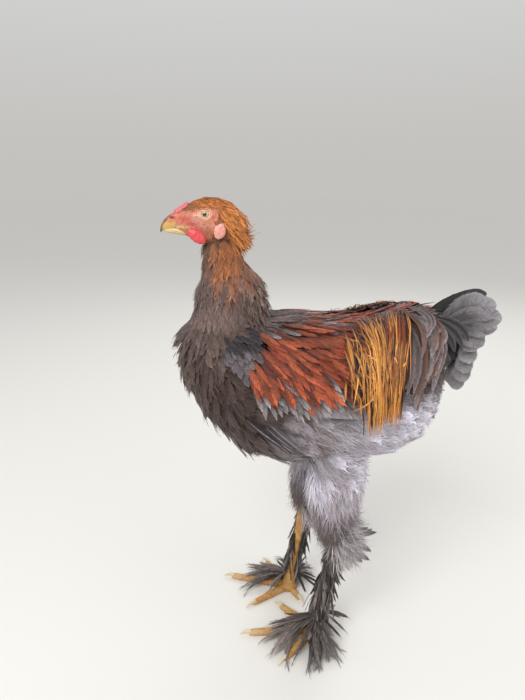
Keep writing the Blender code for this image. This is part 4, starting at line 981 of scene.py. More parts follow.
vane_feather = feather_material(
    "zipped_vane_feather", roughness=0.55, barb_contrast=0.26, shaft_light=1.2, sheen=0.1)
for side, sign in SIDES.items():
    draw = np.random.default_rng(51)
    batches = []
    # Flight feathers, from the lowest and longest up
    count = FLIGHT_COUNT
    s = np.linspace(0.0, 1.0, count)
    stops = np.append(LONG_ROWS, 1.0)
    x = (-0.058 + 0.016 * s)[:, None] + (0.100 - 0.006 * s)[:, None] * stops
    z = (0.3740 + 0.0180 * s)[:, None] - (0.0100 + 0.002 * s)[:, None] * stops ** 1.4
    lift = 0.0060 + 0.0007 * s[:, None] + 0.0020 * np.sin(math.pi * stops)
    centres = flank_point(x, z, lift, sign)
    ups = np.stack([flank_normals(x[:, k], z[:, k], sign) for k in range(len(LONG_ROWS))], axis=1)
    uv = cylinder_uv(centres[:, 0], axis=0, low=-0.14, high=0.08)
    tone = FLIGHT_LILAC * draw.uniform(0.75, 1.15, (count, 1))
    batches += combed(
        draw, centres, ups, FLIGHT_WIDTH, LONG_ROWS, leaf,
        three_tone(tone * 0.5, tone, tone * 1.2, COVERT_EDGE * 0.8, edge_share=0.3), uv, per_side=60,
        sweep=0.10, camber=0.12, fray=0.03, barb_width=0.0012, vary=0.08)
    for row in range(WING_ROWS):
        share = row / (WING_ROWS - 1.0)
        first = np.interp(share, (0.0, 0.25, 0.75, 1.0), (-0.097, -0.128, -0.128, -0.108))
        last = np.interp(share, (0.0, 1.0), (0.004, 0.030))
        count = int((last - first) / COVERT_SPACING)
        x = np.linspace(first, last, count) + draw.uniform(-0.0022, 0.0022, count)
        foot = np.interp(x, *WING_FOOT)
        z = foot + (WING_TOP - foot) * share + draw.uniform(-0.0022, 0.0022, count)
        normals = flank_normals(x, z, sign)
        roots = flank_point(x, z, 0.0050 + 0.0055 * math.sin(math.pi * min(share * 0.8 + 0.15, 1.0)), sign)
        fall = np.radians(np.interp(x, (-0.12, 0.04), (-72.0, -50.0)) + 12.0 * share)
        ahead = lay(np.stack((np.cos(fall), np.zeros(count), np.sin(fall)), axis=1), normals)
        slaty = draw.random(count) < SLATY_SHARE[row]
        ragged_x = x + draw.uniform(-0.006, 0.006, count)
        shoulder = (ragged_x < np.interp(z, (0.400, 0.425, 0.440, 0.455), (-0.104, -0.108, -0.094, -0.098)))
        inky = shoulder & (z > 0.438)
        red = blend(WING_RED, WING_ORANGE, draw.random(count))
        red = blend(red, WING_MAROON, (draw.random(count) < 0.25) * 0.8)
        red = red * draw.uniform(0.6, 1.35, (count, 1))
        middle = pick(slaty, SLATE * draw.uniform(0.5, 1.1, (count, 1)), red)
        middle = pick(shoulder, SLATE * draw.uniform(0.45, 1.2, (count, 1)), middle)
        middle = pick(inky, INK * draw.uniform(0.4, 1.5, (count, 1)), middle)
        grey = slaty & ~shoulder
        tip = pick(
            grey, COVERT_EDGE * draw.uniform(0.35, 0.8, (count, 1)),
            middle * draw.uniform(1.0, 1.8, (count, 1)))
        marked = (draw.random(count) < 0.16) & ~slaty & ~shoulder
        tip = pick(marked, INK, tip)
        edge = pick(grey, COVERT_EDGE * 0.5, middle * 1.5)
        edge = pick(shoulder, SLATE_PALE * np.where(inky, 0.45, 0.8)[:, None], edge)
        uv = cylinder_uv(roots, axis=0, low=-0.14, high=0.08)
        length = np.where(shoulder, 0.0170, 0.0350) * draw.uniform(0.80, 1.20, count)
        widths = np.where(shoulder, 0.0080, 0.0072) * draw.uniform(0.85, 1.2, count)
        centres = arc(
            roots, ahead, normals, length, VANE_ROWS, lift=0.13, bend=0.13,
            sweep=draw.normal(0.0, 0.12, count))
        ups = unit(normals + draw.normal(0.0, 0.14, (count, 3)))[:, None]
        batches += combed(
            draw, centres, ups, widths, VANE_ROWS, leaf,
            three_tone(middle * 0.12, middle, tip, edge, edge_share=0.45), uv, per_side=12, sweep=0.34,
            camber=0.14, fray=0.34, barb_width=0.0009, vary=0.30)
    # Long pale-shafted feathers that cross the flank below the wing
    count = FLANK_COUNT
    x = np.linspace(-0.104, -0.078, count)
    z = 0.352 + draw.uniform(-0.004, 0.006, count)
    normals = flank_normals(x, z, sign)
    centres = arc(
        flank_point(x, z, 0.004, sign), lay(np.array((0.8, 0.0, -0.62)), normals), normals,
        0.052 * draw.uniform(0.85, 1.1, count), LONG_ROWS, lift=0.20, bend=0.25,
        sweep=draw.normal(0.0, 0.12, count))
    tone = blend(INK * 1.2, FLIGHT_LILAC, draw.random(count) * 0.5)
    uv = cylinder_uv(centres[:, 0], axis=0, low=-0.14, high=0.08)
    batches += combed(
        draw, centres, normals[:, None], FLANK_WIDTH, LONG_ROWS, leaf,
        three_tone(tone * 0.4, tone * 0.8, tone * 1.3, tone, edge_share=0.4), uv, per_side=18, sweep=0.25,
        camber=0.1, fray=0.3, barb_width=0.0009, vary=0.2)
    batches.append(vanes(
        centres + normals[:, None] * 0.0006, normals[:, None], SHAFT_WIDTH, LONG_ROWS, lance,
        plain_paint(COVERT_EDGE * 0.6, root_shade=0.7, tip_gain=1.2, edge_gain=1.0), uv))
    hand_over(coat_piece("wing_coat_" + side, batches), vane_feather, "wing_feathers", "wing_" + side)

# Back and saddle
# Mixed rust, black and slate feathers stream back over the spine. From the saddle long narrow
# golden hackles hang over both flanks, with dark ones between them and broad grey ones behind.
SADDLE_GOLD = linear("B26B26")
SADDLE_LIGHT = linear("E2A050")
SADDLE_DARK = linear("241815")
SADDLE_RUST = linear("80391F")
SIDE_GREY = linear("5E5355")
SIDE_PALE = linear("A29291")
SIDE_BROWN = linear("7A4E36")
HACKLE_ROWS = np.linspace(0.0, 0.94, 9)


def draped_lines(x, angle, rise):
    """Centre lines over the back and flank from x, angle and lift along each, with up directions."""
    centres = back_point(x, angle, rise)
    outer = back_point(x, angle, rise + 0.01)
    return centres, unit(outer - centres)[:, :-1]


def hackle(t):
    """Outline of a long narrow saddle feather, thin where it leaves the others."""
    return np.interp(t, (0.0, 0.15, 0.35, 0.6, 0.85, 1.0), (0.10, 0.45, 0.85, 1.0, 0.6, 0.05))


def hanging(draw, sign, count, x_range, root_range, tip_range, lift):
    """Lines that leave the crest of the back, turn down and draw together low on the flank."""
    stops = np.append(HACKLE_ROWS, 1.0)
    x0 = draw.uniform(*x_range, count)
    tip_x = 0.030 + 0.42 * x0 + draw.normal(0.0, 0.0050, count)
    short = (x0 < 0.024) & (draw.random(count) < 0.4)
    tip_x = np.where(short, x0 + draw.uniform(-0.002, 0.010, count), tip_x)
    x = x0[:, None] + (tip_x - x0)[:, None] * (1.0 - (1.0 - stops) ** 1.7)
    x = x + draw.normal(0.0, 0.0022, (count, 1)) * np.sin(stops * draw.uniform(2.0, 5.0, (count, 1)))
    first = np.radians(draw.uniform(*root_range, count) + 20.0 * smooth_step(-x0, -0.030, -0.006))[:, None]
    last = np.radians(draw.uniform(*tip_range, count) - 14.0 * short)[:, None]
    angle = first + (last - first) * stops ** 1.15
    over_wing = smooth_step(-x, -0.062, -0.030) * smooth_step(angle, 0.55, 0.95)
    rise = lift[0] + (lift[1] - lift[0]) * np.sin(np.minimum(stops * 1.4, 1.0) * math.pi / 2.0)
    rise = rise + 0.0105 * over_wing + draw.uniform(0.0, 0.0035, (count, 1)) * stops
    return draped_lines(x, angle * sign, rise)


back_points, back_normals = scatter(
    body_surface, spacing=0.0068, seed=61, wanted=lambda p: (p[:, 2] > 0.420) & (p[:, 0] > -0.080)
    & (p[:, 0] < 0.104) & (np.abs(p[:, 1]) < np.interp(p[:, 0], (0.0, 0.05, 0.09), (0.082, 0.040, 0.012))))
draw = np.random.default_rng(62)
count = len(back_points)
ahead = lay(
    np.stack((np.ones(count), 0.22 * np.sign(back_points[:, 1]), np.full(count, -0.15)), axis=1)
    + draw.normal(0.0, 0.10, (count, 3)), back_normals)
kind = draw.random(count)
front = smooth_step(-back_points[:, 0], 0.035, 0.068)
red = blend(WING_RED, SADDLE_RUST, draw.random(count))
slaty = SLATE * draw.uniform(0.45, 1.5, (count, 1))
ground = pick(kind < 0.66, red, slaty)
ground = pick(kind > 0.86, INK, ground)
ground = blend(ground, NECK_DARK, front * 0.55)
uv = cylinder_uv(back_points, axis=0, low=-0.08, high=0.13)
batches = fringed(
    back_points, back_normals, ahead, ground, uv, draw, length=0.034, width=0.0080, loose=9, lift=0.20,
    bend=0.20, tip_gain=1.5, edge_gain=1.1, outline=lance, slant=3.0, reach=1.1, barb_width=0.0010)
# Long loose ones that stream from the neck and along the crest
long_ones = (np.abs(back_points[:, 1]) < 0.05) & (draw.random(count) < 0.22)
tone = pick(draw.random(count) < 0.5, INK * 1.3, ground)[long_ones]
batches.append(grow(
    back_points[long_ones], ahead[long_ones], back_normals[long_ones],
    0.052 * draw.uniform(0.8, 1.2, len(tone)), width=0.0042, rows=LONG_ROWS, outline=lance,
    paint=three_tone(tone * 0.6, tone, tone * 1.6, tone, edge_share=0.2), patch_uv=uv[long_ones], lift=0.20,
    bend=0.22, sweep=draw.normal(0.0, 0.12, len(tone)), roll=draw.normal(0.0, 0.3, len(tone))))
hand_over(coat_piece("back_coat", batches), vane_feather, "saddle_feathers")

hackle_feather = feather_material(
    "glossy_saddle_hackle", roughness=0.45, barb_contrast=0.22, shaft_light=1.1, sheen=0.05)
for side, sign in SIDES.items():
    draw = np.random.default_rng(71)
    batches = []
    # Dark feathers that show between the golden hackles
    for count, width, lift in ((34, 0.0120, (0.001, 0.0045)), (40, 0.0060, (0.002, 0.0060))):
        centres, ups = hanging(
            draw, sign, count, x_range=(0.010, 0.098), root_range=(10.0, 30.0), tip_range=(74.0, 90.0),
            lift=lift)
        tone = SADDLE_DARK * draw.uniform(0.5, 2.2, (count, 1))
        uv = cylinder_uv(centres[:, 0], axis=0, low=-0.02, high=0.13)
        batches.append(vanes(
            centres, ups, width * draw.uniform(0.85, 1.15, count), HACKLE_ROWS, leaf,
            plain_paint(tone, root_shade=0.7, tip_gain=1.8, edge_gain=1.3), uv,
            draw.normal(0.1 * sign, 0.1, count)))
    # Golden hackles, rust and dark near the root, with pale tips, and dark ones that lie with them
    for count, width, lift, root_range, tip_range, light, gilt in (
            (80, 0.0038, (0.003, 0.0080), (8.0, 58.0), (76.0, 96.0), 0.15, 1.0),
            (80, 0.0028, (0.004, 0.0090), (8.0, 58.0), (72.0, 97.0), 0.0, 0.0),
            (150, 0.0024, (0.004, 0.0100), (8.0, 62.0), (68.0, 98.0), 0.40, 1.0),
            (90, 0.0015, (0.004, 0.0115), (8.0, 62.0), (66.0, 98.0), 0.0, 0.0),
            (230, 0.0013, (0.004, 0.0125), (8.0, 66.0), (55.0, 101.0), 0.75, 1.0)):
        centres, ups = hanging(
            draw, sign, count, x_range=(0.004, 0.086), root_range=root_range, tip_range=tip_range, lift=lift)
        x0 = centres[:, 0, 0]
        gold = blend(SADDLE_GOLD, SADDLE_LIGHT, np.clip(draw.random(count) * light * 1.6, 0.0, 1.0))
        gold = gold * draw.uniform(0.45, 1.25, (count, 1))
        rust = draw.random(count) < np.interp(x0, (-0.01, 0.02, 0.06, 0.09), (0.5, 0.10, 0.30, 0.85))
        gold = pick(rust, SADDLE_RUST * draw.uniform(0.5, 1.4, (count, 1)), gold)
        gold = blend(SADDLE_DARK * draw.uniform(0.7, 2.2, (count, 1)), gold, gilt)
        root = blend(blend(gold, SADDLE_RUST, 0.8), SADDLE_DARK, draw.uniform(0.2, 1.0, count))
        uv = cylinder_uv(centres[:, 0], axis=0, low=-0.02, high=0.13)
        batches.append(vanes(
            centres, ups, width * draw.uniform(0.75, 1.3, count), HACKLE_ROWS, hackle,
            three_tone(root, gold * 0.75, blend(gold, SADDLE_LIGHT, light), gold * 1.3, edge_share=0.7), uv,
            draw.normal(0.1 * sign, 0.3, count), camber=0.14))
    # Broad grey feathers that bow out behind the hackles, some with brown edges
    for count, x_range, width, bow, tip_range, lift in (
            (10, (0.056, 0.080), 0.0125, 0.021, (80.0, 99.0), (0.001, 0.0040)),
            (9, (0.074, 0.104), 0.0150, 0.026, (76.0, 94.0), (0.002, 0.0060)),
            (8, (0.086, 0.108), 0.0130, 0.030, (55.0, 82.0), (0.003, 0.0090)),
            (6, (0.080, 0.104), 0.0090, 0.026, (40.0, 66.0), (0.004, 0.0110))):
        stops = np.append(HACKLE_ROWS, 1.0)
        x0 = np.linspace(*x_range, count) + draw.uniform(-0.002, 0.002, count)
        bows = bow * draw.uniform(0.85, 1.15, (count, 1))
        x = x0[:, None] + bows * np.sin(stops * 2.2) - 0.004 * stops
        x = np.minimum(x, 0.1365)
        first = np.radians(draw.uniform(4.0, 22.0, count))[:, None]
        last = np.radians(draw.uniform(*tip_range, count))[:, None]
        rise = lift[0] + (lift[1] - lift[0]) * stops + 0.004 * smooth_step(x, 0.110, 0.136)
        centres, ups = draped_lines(x, (first + (last - first) * stops) * sign, rise)
        tone = SIDE_GREY * draw.uniform(0.35, 1.25, (count, 1))
        brown = draw.random(count) < 0.3
        edge = pick(brown, SIDE_BROWN, SIDE_PALE * draw.uniform(0.6, 1.0, (count, 1)))
        widths = width * draw.uniform(0.9, 1.1, count)
        uv = cylinder_uv(centres[:, 0], axis=0, low=-0.02, high=0.14)
        ups = unit(ups + np.array((0.12, 0.0, 0.0)))
        batches += combed(
            draw, centres, ups, widths, HACKLE_ROWS, leaf,
            three_tone(tone * 0.10, tone * 0.6, tone * 1.5, edge * 1.15, edge_share=0.95), uv, per_side=26,
            sweep=0.18, camber=0.14, fray=0.08, barb_width=0.0016, vary=0.22)
    hand_over(coat_piece("saddle_coat_" + side, batches), hackle_feather, "saddle_feathers", "saddle")

# Tail
# Short, soft and upright: broad slate-grey feathers with black bases in two roof-shaped fans. The
# upper ones are round and stand up, and the lower ones curl forward under them.
TAIL_ROOT = np.array((0.124, 0.0, 0.442))
TAIL_SLATE = linear("65605F")
TAIL_PALE = linear("9A959A")
TAIL_BLACK = linear("161214")
PADDLE_ROWS = np.array((0.0, 0.12, 0.26, 0.42, 0.58, 0.72, 0.84, 0.93, 0.98))
# Headings, lengths and curls of a fan's feathers, how far beside the middle plane they start and
# end and the step between them, the base's place, their width, light and darkness of the middle
TAIL_FANS = (
    # Black feathers along the top
    ((31.0, 24.0, 8.0, -14.0), (0.078, 0.072, 0.060, 0.054), (26.0, 24.0, 30.0, 40.0),
     0.003, 0.006, 0.0012, (-0.006, 0.016), 0.0180, 0.16, 0.6),
    # Feathers behind the pale ones, painted near-black as the shade between the vent and the tail
    ((4.0, -14.0, -32.0, -50.0, -66.0), 0.050, 24.0,
     0.003, 0.007, 0.0010, (0.0, -0.006), 0.0260, 0.14, 0.6),
    # Large round upper feathers
    ((49.0, 38.0, 27.0, 14.0, -2.0), (0.066, 0.074, 0.077, 0.071, 0.060), (40.0, 40.0, 42.0, 44.0, 46.0),
     0.008, 0.013, 0.0016, (0.010, 0.002), 0.0310, 1.0, 0.6),
    # Shorter darker ones over their roots
    ((46.0, 36.0, 27.0, 17.0, 6.0, -8.0), (0.058, 0.064, 0.068, 0.065, 0.058, 0.048), 42.0,
     0.015, 0.018, 0.0010, (0.008, 0.002), 0.0130, 0.85, 0.35),
)
# Places of the lower feathers' roots, from the lowest up, and their headings
TAIL_TILES = np.array((
    (0.1670, 0.0, 0.395, -90.0),
    (0.1690, 0.0, 0.406, -82.0),
    (0.1685, 0.0, 0.418, -74.0),
    (0.1660, 0.0, 0.430, -60.0),
    (0.1610, 0.0, 0.442, -42.0),
    (0.1550, 0.0, 0.452, -24.0),
))


def paddle(t):
    """Outline of a broad soft tail feather with a round end."""
    return np.interp(
        t, (0.0, 0.15, 0.45, 0.72, 0.86, 0.94, 0.98, 1.0), (0.2, 0.50, 0.92, 1.0, 0.90, 0.66, 0.42, 0.15))


def fan_lines(sign, headings, lengths, curl, near, far, base):
    """Centre lines of feathers that leave their bases and curl downwards, nearest the middle
    plane at their roots."""
    stops = np.append(PADDLE_ROWS, 1.0)
    middles = (stops[1:] + stops[:-1]) / 2.0
    count = len(headings)
    headings, lengths, curl, near, far = (
        np.broadcast_to(np.asarray(v, float), count)[:, None] for v in (headings, lengths, curl, near, far))
    heading = np.radians(headings) - np.radians(curl) * middles ** 1.4
    run = lengths * np.diff(stops)
    start = np.zeros((count, 1))
    x = np.concatenate((start, np.cumsum(np.cos(heading) * run, axis=1)), axis=1)
    z = np.concatenate((start, np.cumsum(np.sin(heading) * run, axis=1)), axis=1)
    y = near + (far - near) * np.sin(stops * math.pi / 2.0)
    base = np.atleast_2d(base)
    centres = np.stack((base[:, :1] + x, sign * y, base[:, 2:] + z), axis=-1)
    ups = np.broadcast_to(unit(np.array((0.15, sign, 0.25))), (count, len(PADDLE_ROWS), 3))
    return centres, ups


def tail_batch(draw, sign, headings, lengths, curl, near, far, base, width, light, middle=0.6):
    """A fan of tail feathers, black at the root and slate-grey beyond, with their soft edges."""
    count = len(headings)
    centres, ups = fan_lines(sign, headings + draw.normal(0.0, 2.0, count), lengths, curl, near, far, base)
    widths = width * draw.uniform(0.92, 1.08, count)
    uv = cylinder_uv(centres[:, 2], axis=0, low=0.10, high=0.22)
    slate = TAIL_SLATE * draw.uniform(0.75, 1.2, (count, 1)) * light
    pale = TAIL_PALE * light * draw.uniform(0.8, 1.1, (count, 1))
    paint = three_tone(TAIL_BLACK, slate * middle, pale, blend(slate, pale, 0.8), edge_share=0.75)
    return combed(
        draw, centres, ups, widths, PADDLE_ROWS, paddle, paint, uv, per_side=38, sweep=0.34, camber=0.16,
        fray=0.05, barb_width=0.0016, vary=0.20)


for side, sign in SIDES.items():
    draw = np.random.default_rng(81)
    batches = []
    for headings, lengths, curl, near, far, step, (dx, dz), width, light, middle in TAIL_FANS:
        beside = step * np.arange(len(headings))
        batches += tail_batch(
            draw, sign, np.array(headings), lengths, curl, near + beside, far + beside,
            TAIL_ROOT + np.array((dx, 0.0, dz)), width, light, middle)
    # Lower feathers, laid like tiles down a line that curls forward. Their middles are painted dark
    # as the shadow that each tile casts on the one below.
    step = 0.0010 * np.arange(len(TAIL_TILES))
    batches += tail_batch(
        draw, sign, TAIL_TILES[:, 3], lengths=0.0340, curl=34.0, near=0.009 + step, far=0.012 + step,
        base=TAIL_TILES[:, :3], width=0.0270, light=1.08, middle=0.28)
    # Dark feathers with paler rims that arch over the tail's root
    ink = TAIL_BLACK * 1.4
    centres, ups = fan_lines(
        sign, (8.0, -6.0, -20.0, -38.0), (0.068, 0.064, 0.058, 0.050), (84.0, 76.0, 66.0, 54.0),
        (0.016, 0.019, 0.022, 0.025), (0.024, 0.027, 0.030, 0.032),
        TAIL_ROOT + np.array((-0.012, 0.0, 0.016)))
    uv = cylinder_uv(centres[:, 2], axis=0, low=0.10, high=0.22)
    batches += combed(
        draw, centres, ups, widths=0.0120, rows=PADDLE_ROWS, outline=leaf,
        paint=three_tone(ink, ink * 1.5, ink * 2.5, TAIL_PALE * 0.6, edge_share=0.6), uv=uv, per_side=40,
        sweep=0.16, camber=0.16, fray=0.06, barb_width=0.0012)
    hand_over(coat_piece("tail_coat_" + side, batches), soft_feather, "tail_feathers", "tail")

# Head skin
# The bare face is pink-red and finely wrinkled, redder below the eye; under the feathers it takes
# their colours, darkened as painted shade. The skin closes round each eye with a raised lid and two
# folds below it, with painted shade in the creases round the lid and below it.
# Along the head: x, lowest and highest z, half width
HEAD = np.array((
    (-0.1920, 0.5660, 0.5800, 0.0050),
    (-0.1900, 0.5630, 0.5830, 0.0075),
    (-0.1810, 0.5580, 0.5885, 0.0115),
    (-0.1690, 0.5510, 0.5960, 0.0155),
    (-0.1550, 0.5460, 0.6005, 0.0182),
    (-0.1400, 0.5450, 0.5995, 0.0195),
    (-0.1260, 0.5470, 0.5950, 0.0182),
    (-0.1140, 0.5550, 0.5840, 0.0120),
    (-0.1110, 0.5610, 0.5790, 0.0070),
))
HEAD_POWER = 2.1
EYE_PLACE = np.array((-0.1535, 0.0133, 0.5815))
EYE_RADIUS = 0.0063
EYE_OPENING = 0.0046
FACE_PINK = linear("D08468")
FACE_RED = linear("C44148")
FACE_BROWN = linear("A5653F")
FACE_LILAC = linear("C28D86")
LID_PINK = linear("E8BC98")
LID_CREASE_SHADE = linear("8E4632")
LOBE_PALE = linear("E5A294")
GAPE_YELLOW = linear("E2C78A")
LOBE_X = -0.1367
LOBE_Z = 0.5630
CROWN_BROWN = linear("9A5A2C")
CROWN_ORANGE = linear("CF8040")
NAPE_PALE = linear("D9A468")
HEAD_THROAT = linear("7A5236")
# Colour, place, radii and strength of soft spots on the bare face
FACE_SPOTS = (
    (FACE_BROWN, -0.1510, 0.5600, 0.0100, 0.0075, 0.75),
    (FACE_LILAC, -0.1655, 0.5765, 0.0055, 0.0060, 0.95),
    (FACE_LILAC, -0.1580, 0.5690, 0.0060, 0.0035, 0.70),
    (FACE_RED, -0.1780, 0.5765, 0.0080, 0.0032, 0.90),
    (FACE_RED, -0.1700, 0.5700, 0.0070, 0.0030, 0.90),
    (FACE_RED, -0.1630, 0.5635, 0.0070, 0.0035, 0.80),
    (FACE_RED, -0.1440, 0.5786, 0.0045, 0.0028, 0.80),
    (LOBE_PALE, -0.1400, 0.5640, 0.0055, 0.0095, 0.70),
    (GAPE_YELLOW, -0.1850, 0.5668, 0.0110, 0.0016, 0.90),
)


def smooth_values(xs, table, column):
    """A column of a table of stations, evened out between its stations."""
    fine = np.linspace(table[0, 0], table[-1, 0], 400)
    values = np.interp(fine, table[:, 0], table[:, column])
    kernel = np.hanning(47)
    padded = np.pad(values, 23, mode="edge")
    return np.interp(xs, fine, np.convolve(padded, kernel / kernel.sum(), mode="valid"))


def eye_polar(points):
    """Distance from the eye's centre over the lid opening's size there, and the angle, seen from
    the side. The opening draws out to a corner in front."""
    x = points[:, 0] - EYE_PLACE[0]
    z = points[:, 2] - EYE_PLACE[2]
    angle = np.arctan2(z + x * 0.10, -x)
    size = EYE_OPENING * (1.0 + 0.22 * np.exp(-(angle / 0.45) ** 2) - 0.10 * np.abs(np.sin(angle)))
    return np.hypot(x, z) / size, angle


spacing = np.concatenate(
    (np.linspace(-0.1918, -0.167, 44), np.linspace(-0.1666, -0.141, 66)[:-1],
    np.linspace(-0.141, -0.1112, 44)))
sizes = (smooth_values(spacing, HEAD, k) for k in (1, 2, 3))
head = add_object("skin_head", tube_mesh("skin_head", section_rings(spacing, *sizes, HEAD_POWER, 220)))
head.data.shade_smooth()
p = vertex_rows(head.data)
sign = np.sign(p[:, 1]) + (p[:, 1] == 0)
d, angle = eye_polar(p)
beside = np.abs(p[:, 1]) > 0.008
r = np.hypot(p[:, 0] - EYE_PLACE[0], p[:, 2] - EYE_PLACE[2])
ball = EYE_PLACE[1] + np.sqrt(np.maximum(EYE_RADIUS ** 2 - r ** 2, 0.0))
lid = 0.0008 + 0.0006 * np.maximum(np.sin(angle), 0.0)
inner = ball - 0.0014
outer = np.maximum(ball, np.abs(p[:, 1]) - 0.0006) + lid
target = np.where(
    d < 0.9, inner, np.where(d < 1.02, inner + (outer - inner) * smooth_step(d, 0.9, 1.02),
    outer + (np.abs(p[:, 1]) - outer) * smooth_step(d, 1.08, 1.45)))
fold = np.exp(-((d - 1.62) / 0.10) ** 2) + 0.8 * np.exp(-((d - 2.05) / 0.12) ** 2)
groove = np.exp(-((d - 1.40) / 0.08) ** 2) + 0.7 * np.exp(-((d - 1.84) / 0.09) ** 2)
under = np.maximum(-np.sin(angle) + 0.35, 0.0)
target = target + (fold * 0.00045 - groove * 0.0005) * under
brow = np.exp(-(((p[:, 0] + 0.157) / 0.009) ** 2 + ((p[:, 2] - 0.5885) / 0.0028) ** 2))
target = target + brow * 0.0014
wrinkle = waves(p, 900.0, 5) * 0.00012 + waves(p, 2000.0, 6) * 0.00008
p[:, 1] = np.where(beside, sign * (target + wrinkle * (d > 1.1)), p[:, 1])
head.data.vertices.foreach_set("co", p.ravel())


def spot_on(points, x, z, radius_x, radius_z):
    """1 in the middle of an oval spot in the side view, falling to 0 outside it."""
    return np.exp(-((points[:, 0] - x) / radius_x) ** 2 - ((points[:, 2] - z) / radius_z) ** 2)


patch = waves(p, 420.0, 7) * 0.5 + 0.5
face = blend(FACE_PINK, FACE_BROWN, np.clip(patch * 0.5, 0, 1))
for colour, x, z, radius_x, radius_z, share in FACE_SPOTS:
    face = blend(face, colour, spot_on(p, x, z, radius_x, radius_z) * share)
pale_lid = smooth_step(-d, -1.34, -1.28) + 0.75 * np.exp(-((d - 1.58) / 0.14) ** 2)
face = blend(face, LID_PINK, np.clip(pale_lid, 0, 1) * beside)
face = blend(face, LID_PINK, spot_on(p, -0.1628, 0.5802, 0.0036, 0.0016) * 0.9 * beside)
# Painted shade in the crease at the foot of the lid and in the groove below the eye
painted_crease_shade = (
    np.exp(-((d - 1.40) / 0.075) ** 2) * (0.55 + 0.4 * (np.sin(angle) > 0.0))
    + np.exp(-((d - 1.90) / 0.08) ** 2) * (angle < 0.3) * 0.6)
face = blend(face, LID_CREASE_SHADE, np.clip(painted_crease_shade, 0, 1) * beside)


def bare_face(points):
    """1 on the bare face round the eye and down to the wattle, 0 under the head's feathers."""
    x = points[:, 0]
    z = points[:, 2]
    ragged = waves(points, 800.0, 9) * 0.0013 + waves(points, 1900.0, 10) * 0.0008
    top = 0.5886 + 0.12 * (x + 0.153) + ragged
    rear = -0.1385 + 0.35 * (z - 0.575) + ragged
    return (
        smooth_step(-z, -top - 0.0010, -top + 0.0014) * smooth_step(-x, -rear - 0.0012, -rear + 0.0020)
        * smooth_step(z + ragged, 0.5505, 0.5540) * (np.abs(points[:, 1]) > 0.004))


def on_lobe(points):
    """True over the earlobes, where no feather grows."""
    return np.hypot((points[:, 0] - LOBE_X) / 0.0078, (points[:, 2] - LOBE_Z) / 0.0098) < 1.0


# Under the feathers the skin takes their colours, darkened as painted shade
crown = blend(CROWN_BROWN, HEAD_THROAT, smooth_step(-p[:, 2], -0.565, -0.552)) * 0.6
colours = blend(crown, face, bare_face(p))
paint_vertices(head.data, colours)


def stained(tree, ground, pattern, low, high, most, stain):
    """Output of the ground colour with a stain where a pattern is high, at most by a share."""
    share = add_node(
        tree, "MapRange", {"From Min": low, "From Max": high, "To Max": most}, {"Value": pattern})
    mixed = add_node(
        tree, "Mix", {"B": rgba(stain)}, {"Factor": share.outputs["Result"], "A": ground}, data_type="RGBA")
    return mixed.outputs["Result"]


face_skin, tree, shader = new_material("bare_face_skin", roughness=0.45, specular=0.5)
shader.inputs["Subsurface Weight"].default_value = 0.12
shader.inputs["Subsurface Radius"].default_value = (0.004, 0.0015, 0.001)
shader.inputs["Subsurface Scale"].default_value = 1.0
plumage, place = colour_and_place(tree)
pores = add_node(tree, "TexVoronoi", {"Scale": 1400.0}, {"Vector": place})
mottle = add_node(tree, "TexNoise", {"Scale": 420.0, "Detail": 3.0}, {"Vector": place})
redder = stained(tree, plumage, mottle.outputs["Fac"], low=0.5, high=0.72, most=0.4, stain="B8483F")
tree.links.new(redder, shader.inputs["Base Color"])
add_bump(tree, shader, pores.outputs["Distance"], strength=0.5, distance=0.00025)
head.data.update()
head_surface = surface_of(head)
hand_over(head, face_skin, "head_feathers", "head")

# Eyes
# Wet balls with a black pupil, a tan iris with fine rays and a dark outer ring.
PUPIL = 0.0021
IRIS = 0.0042
IRIS_INNER = linear("A8744A")
IRIS_TAN = linear("D8BE94")
IRIS_RING = linear("8A6A45")
PUPIL_BLACK = linear("070606")


def ball_mesh(name, radius, around, upward):
    """A smooth ball of so many faces around and upward."""
    work = bmesh.new()
    bmesh.ops.create_uvsphere(work, u_segments=around, v_segments=upward, radius=radius)
    mesh = bpy.data.meshes.new(name)
    work.to_mesh(mesh)
    work.free()
    mesh.shade_smooth()
    return mesh


ball_material, tree, shader = new_material("wet_eye", roughness=0.08, specular=0.6)
shader.inputs["Coat Weight"].default_value = 1.0
shader.inputs["Coat Roughness"].default_value = 0.02
plumage = add_node(tree, "Attribute", attribute_name="Plumage")
tree.links.new(plumage.outputs["Color"], shader.inputs["Base Color"])
for side, sign in SIDES.items():
    mesh = ball_mesh("eyeball_" + side, EYE_RADIUS, around=96, upward=64)
    centre = EYE_PLACE * np.array((1.0, sign, 1.0))
    mesh.transform(Matrix.Translation(centre) @ Matrix.Rotation(math.pi / 2.0, 4, "X"))
    gaze = unit(np.array((-0.10, sign, 0.02)))
    offset = vertex_rows(mesh) - centre
    radius = np.linalg.norm(offset - (offset @ gaze)[:, None] * gaze, axis=1)
    around = np.arctan2(offset[:, 2], offset[:, 0])
    rays = 0.85 + 0.15 * np.sin(around * 40.0 + 2.0 * np.sin(around * 7.0))
    iris = blend(IRIS_INNER, IRIS_TAN, smooth_step(radius, PUPIL, PUPIL * 1.7)) * rays[:, None]
    iris = blend(iris, IRIS_RING, smooth_step(radius, IRIS * 0.93, IRIS * 1.05))
    iris = blend(PUPIL_BLACK, iris, smooth_step(radius, PUPIL * 0.96, PUPIL * 1.08))
    paint_vertices(mesh, iris)
    hand_over(add_object("eyeball_" + side, mesh), ball_material, "eye", "eye_" + side)

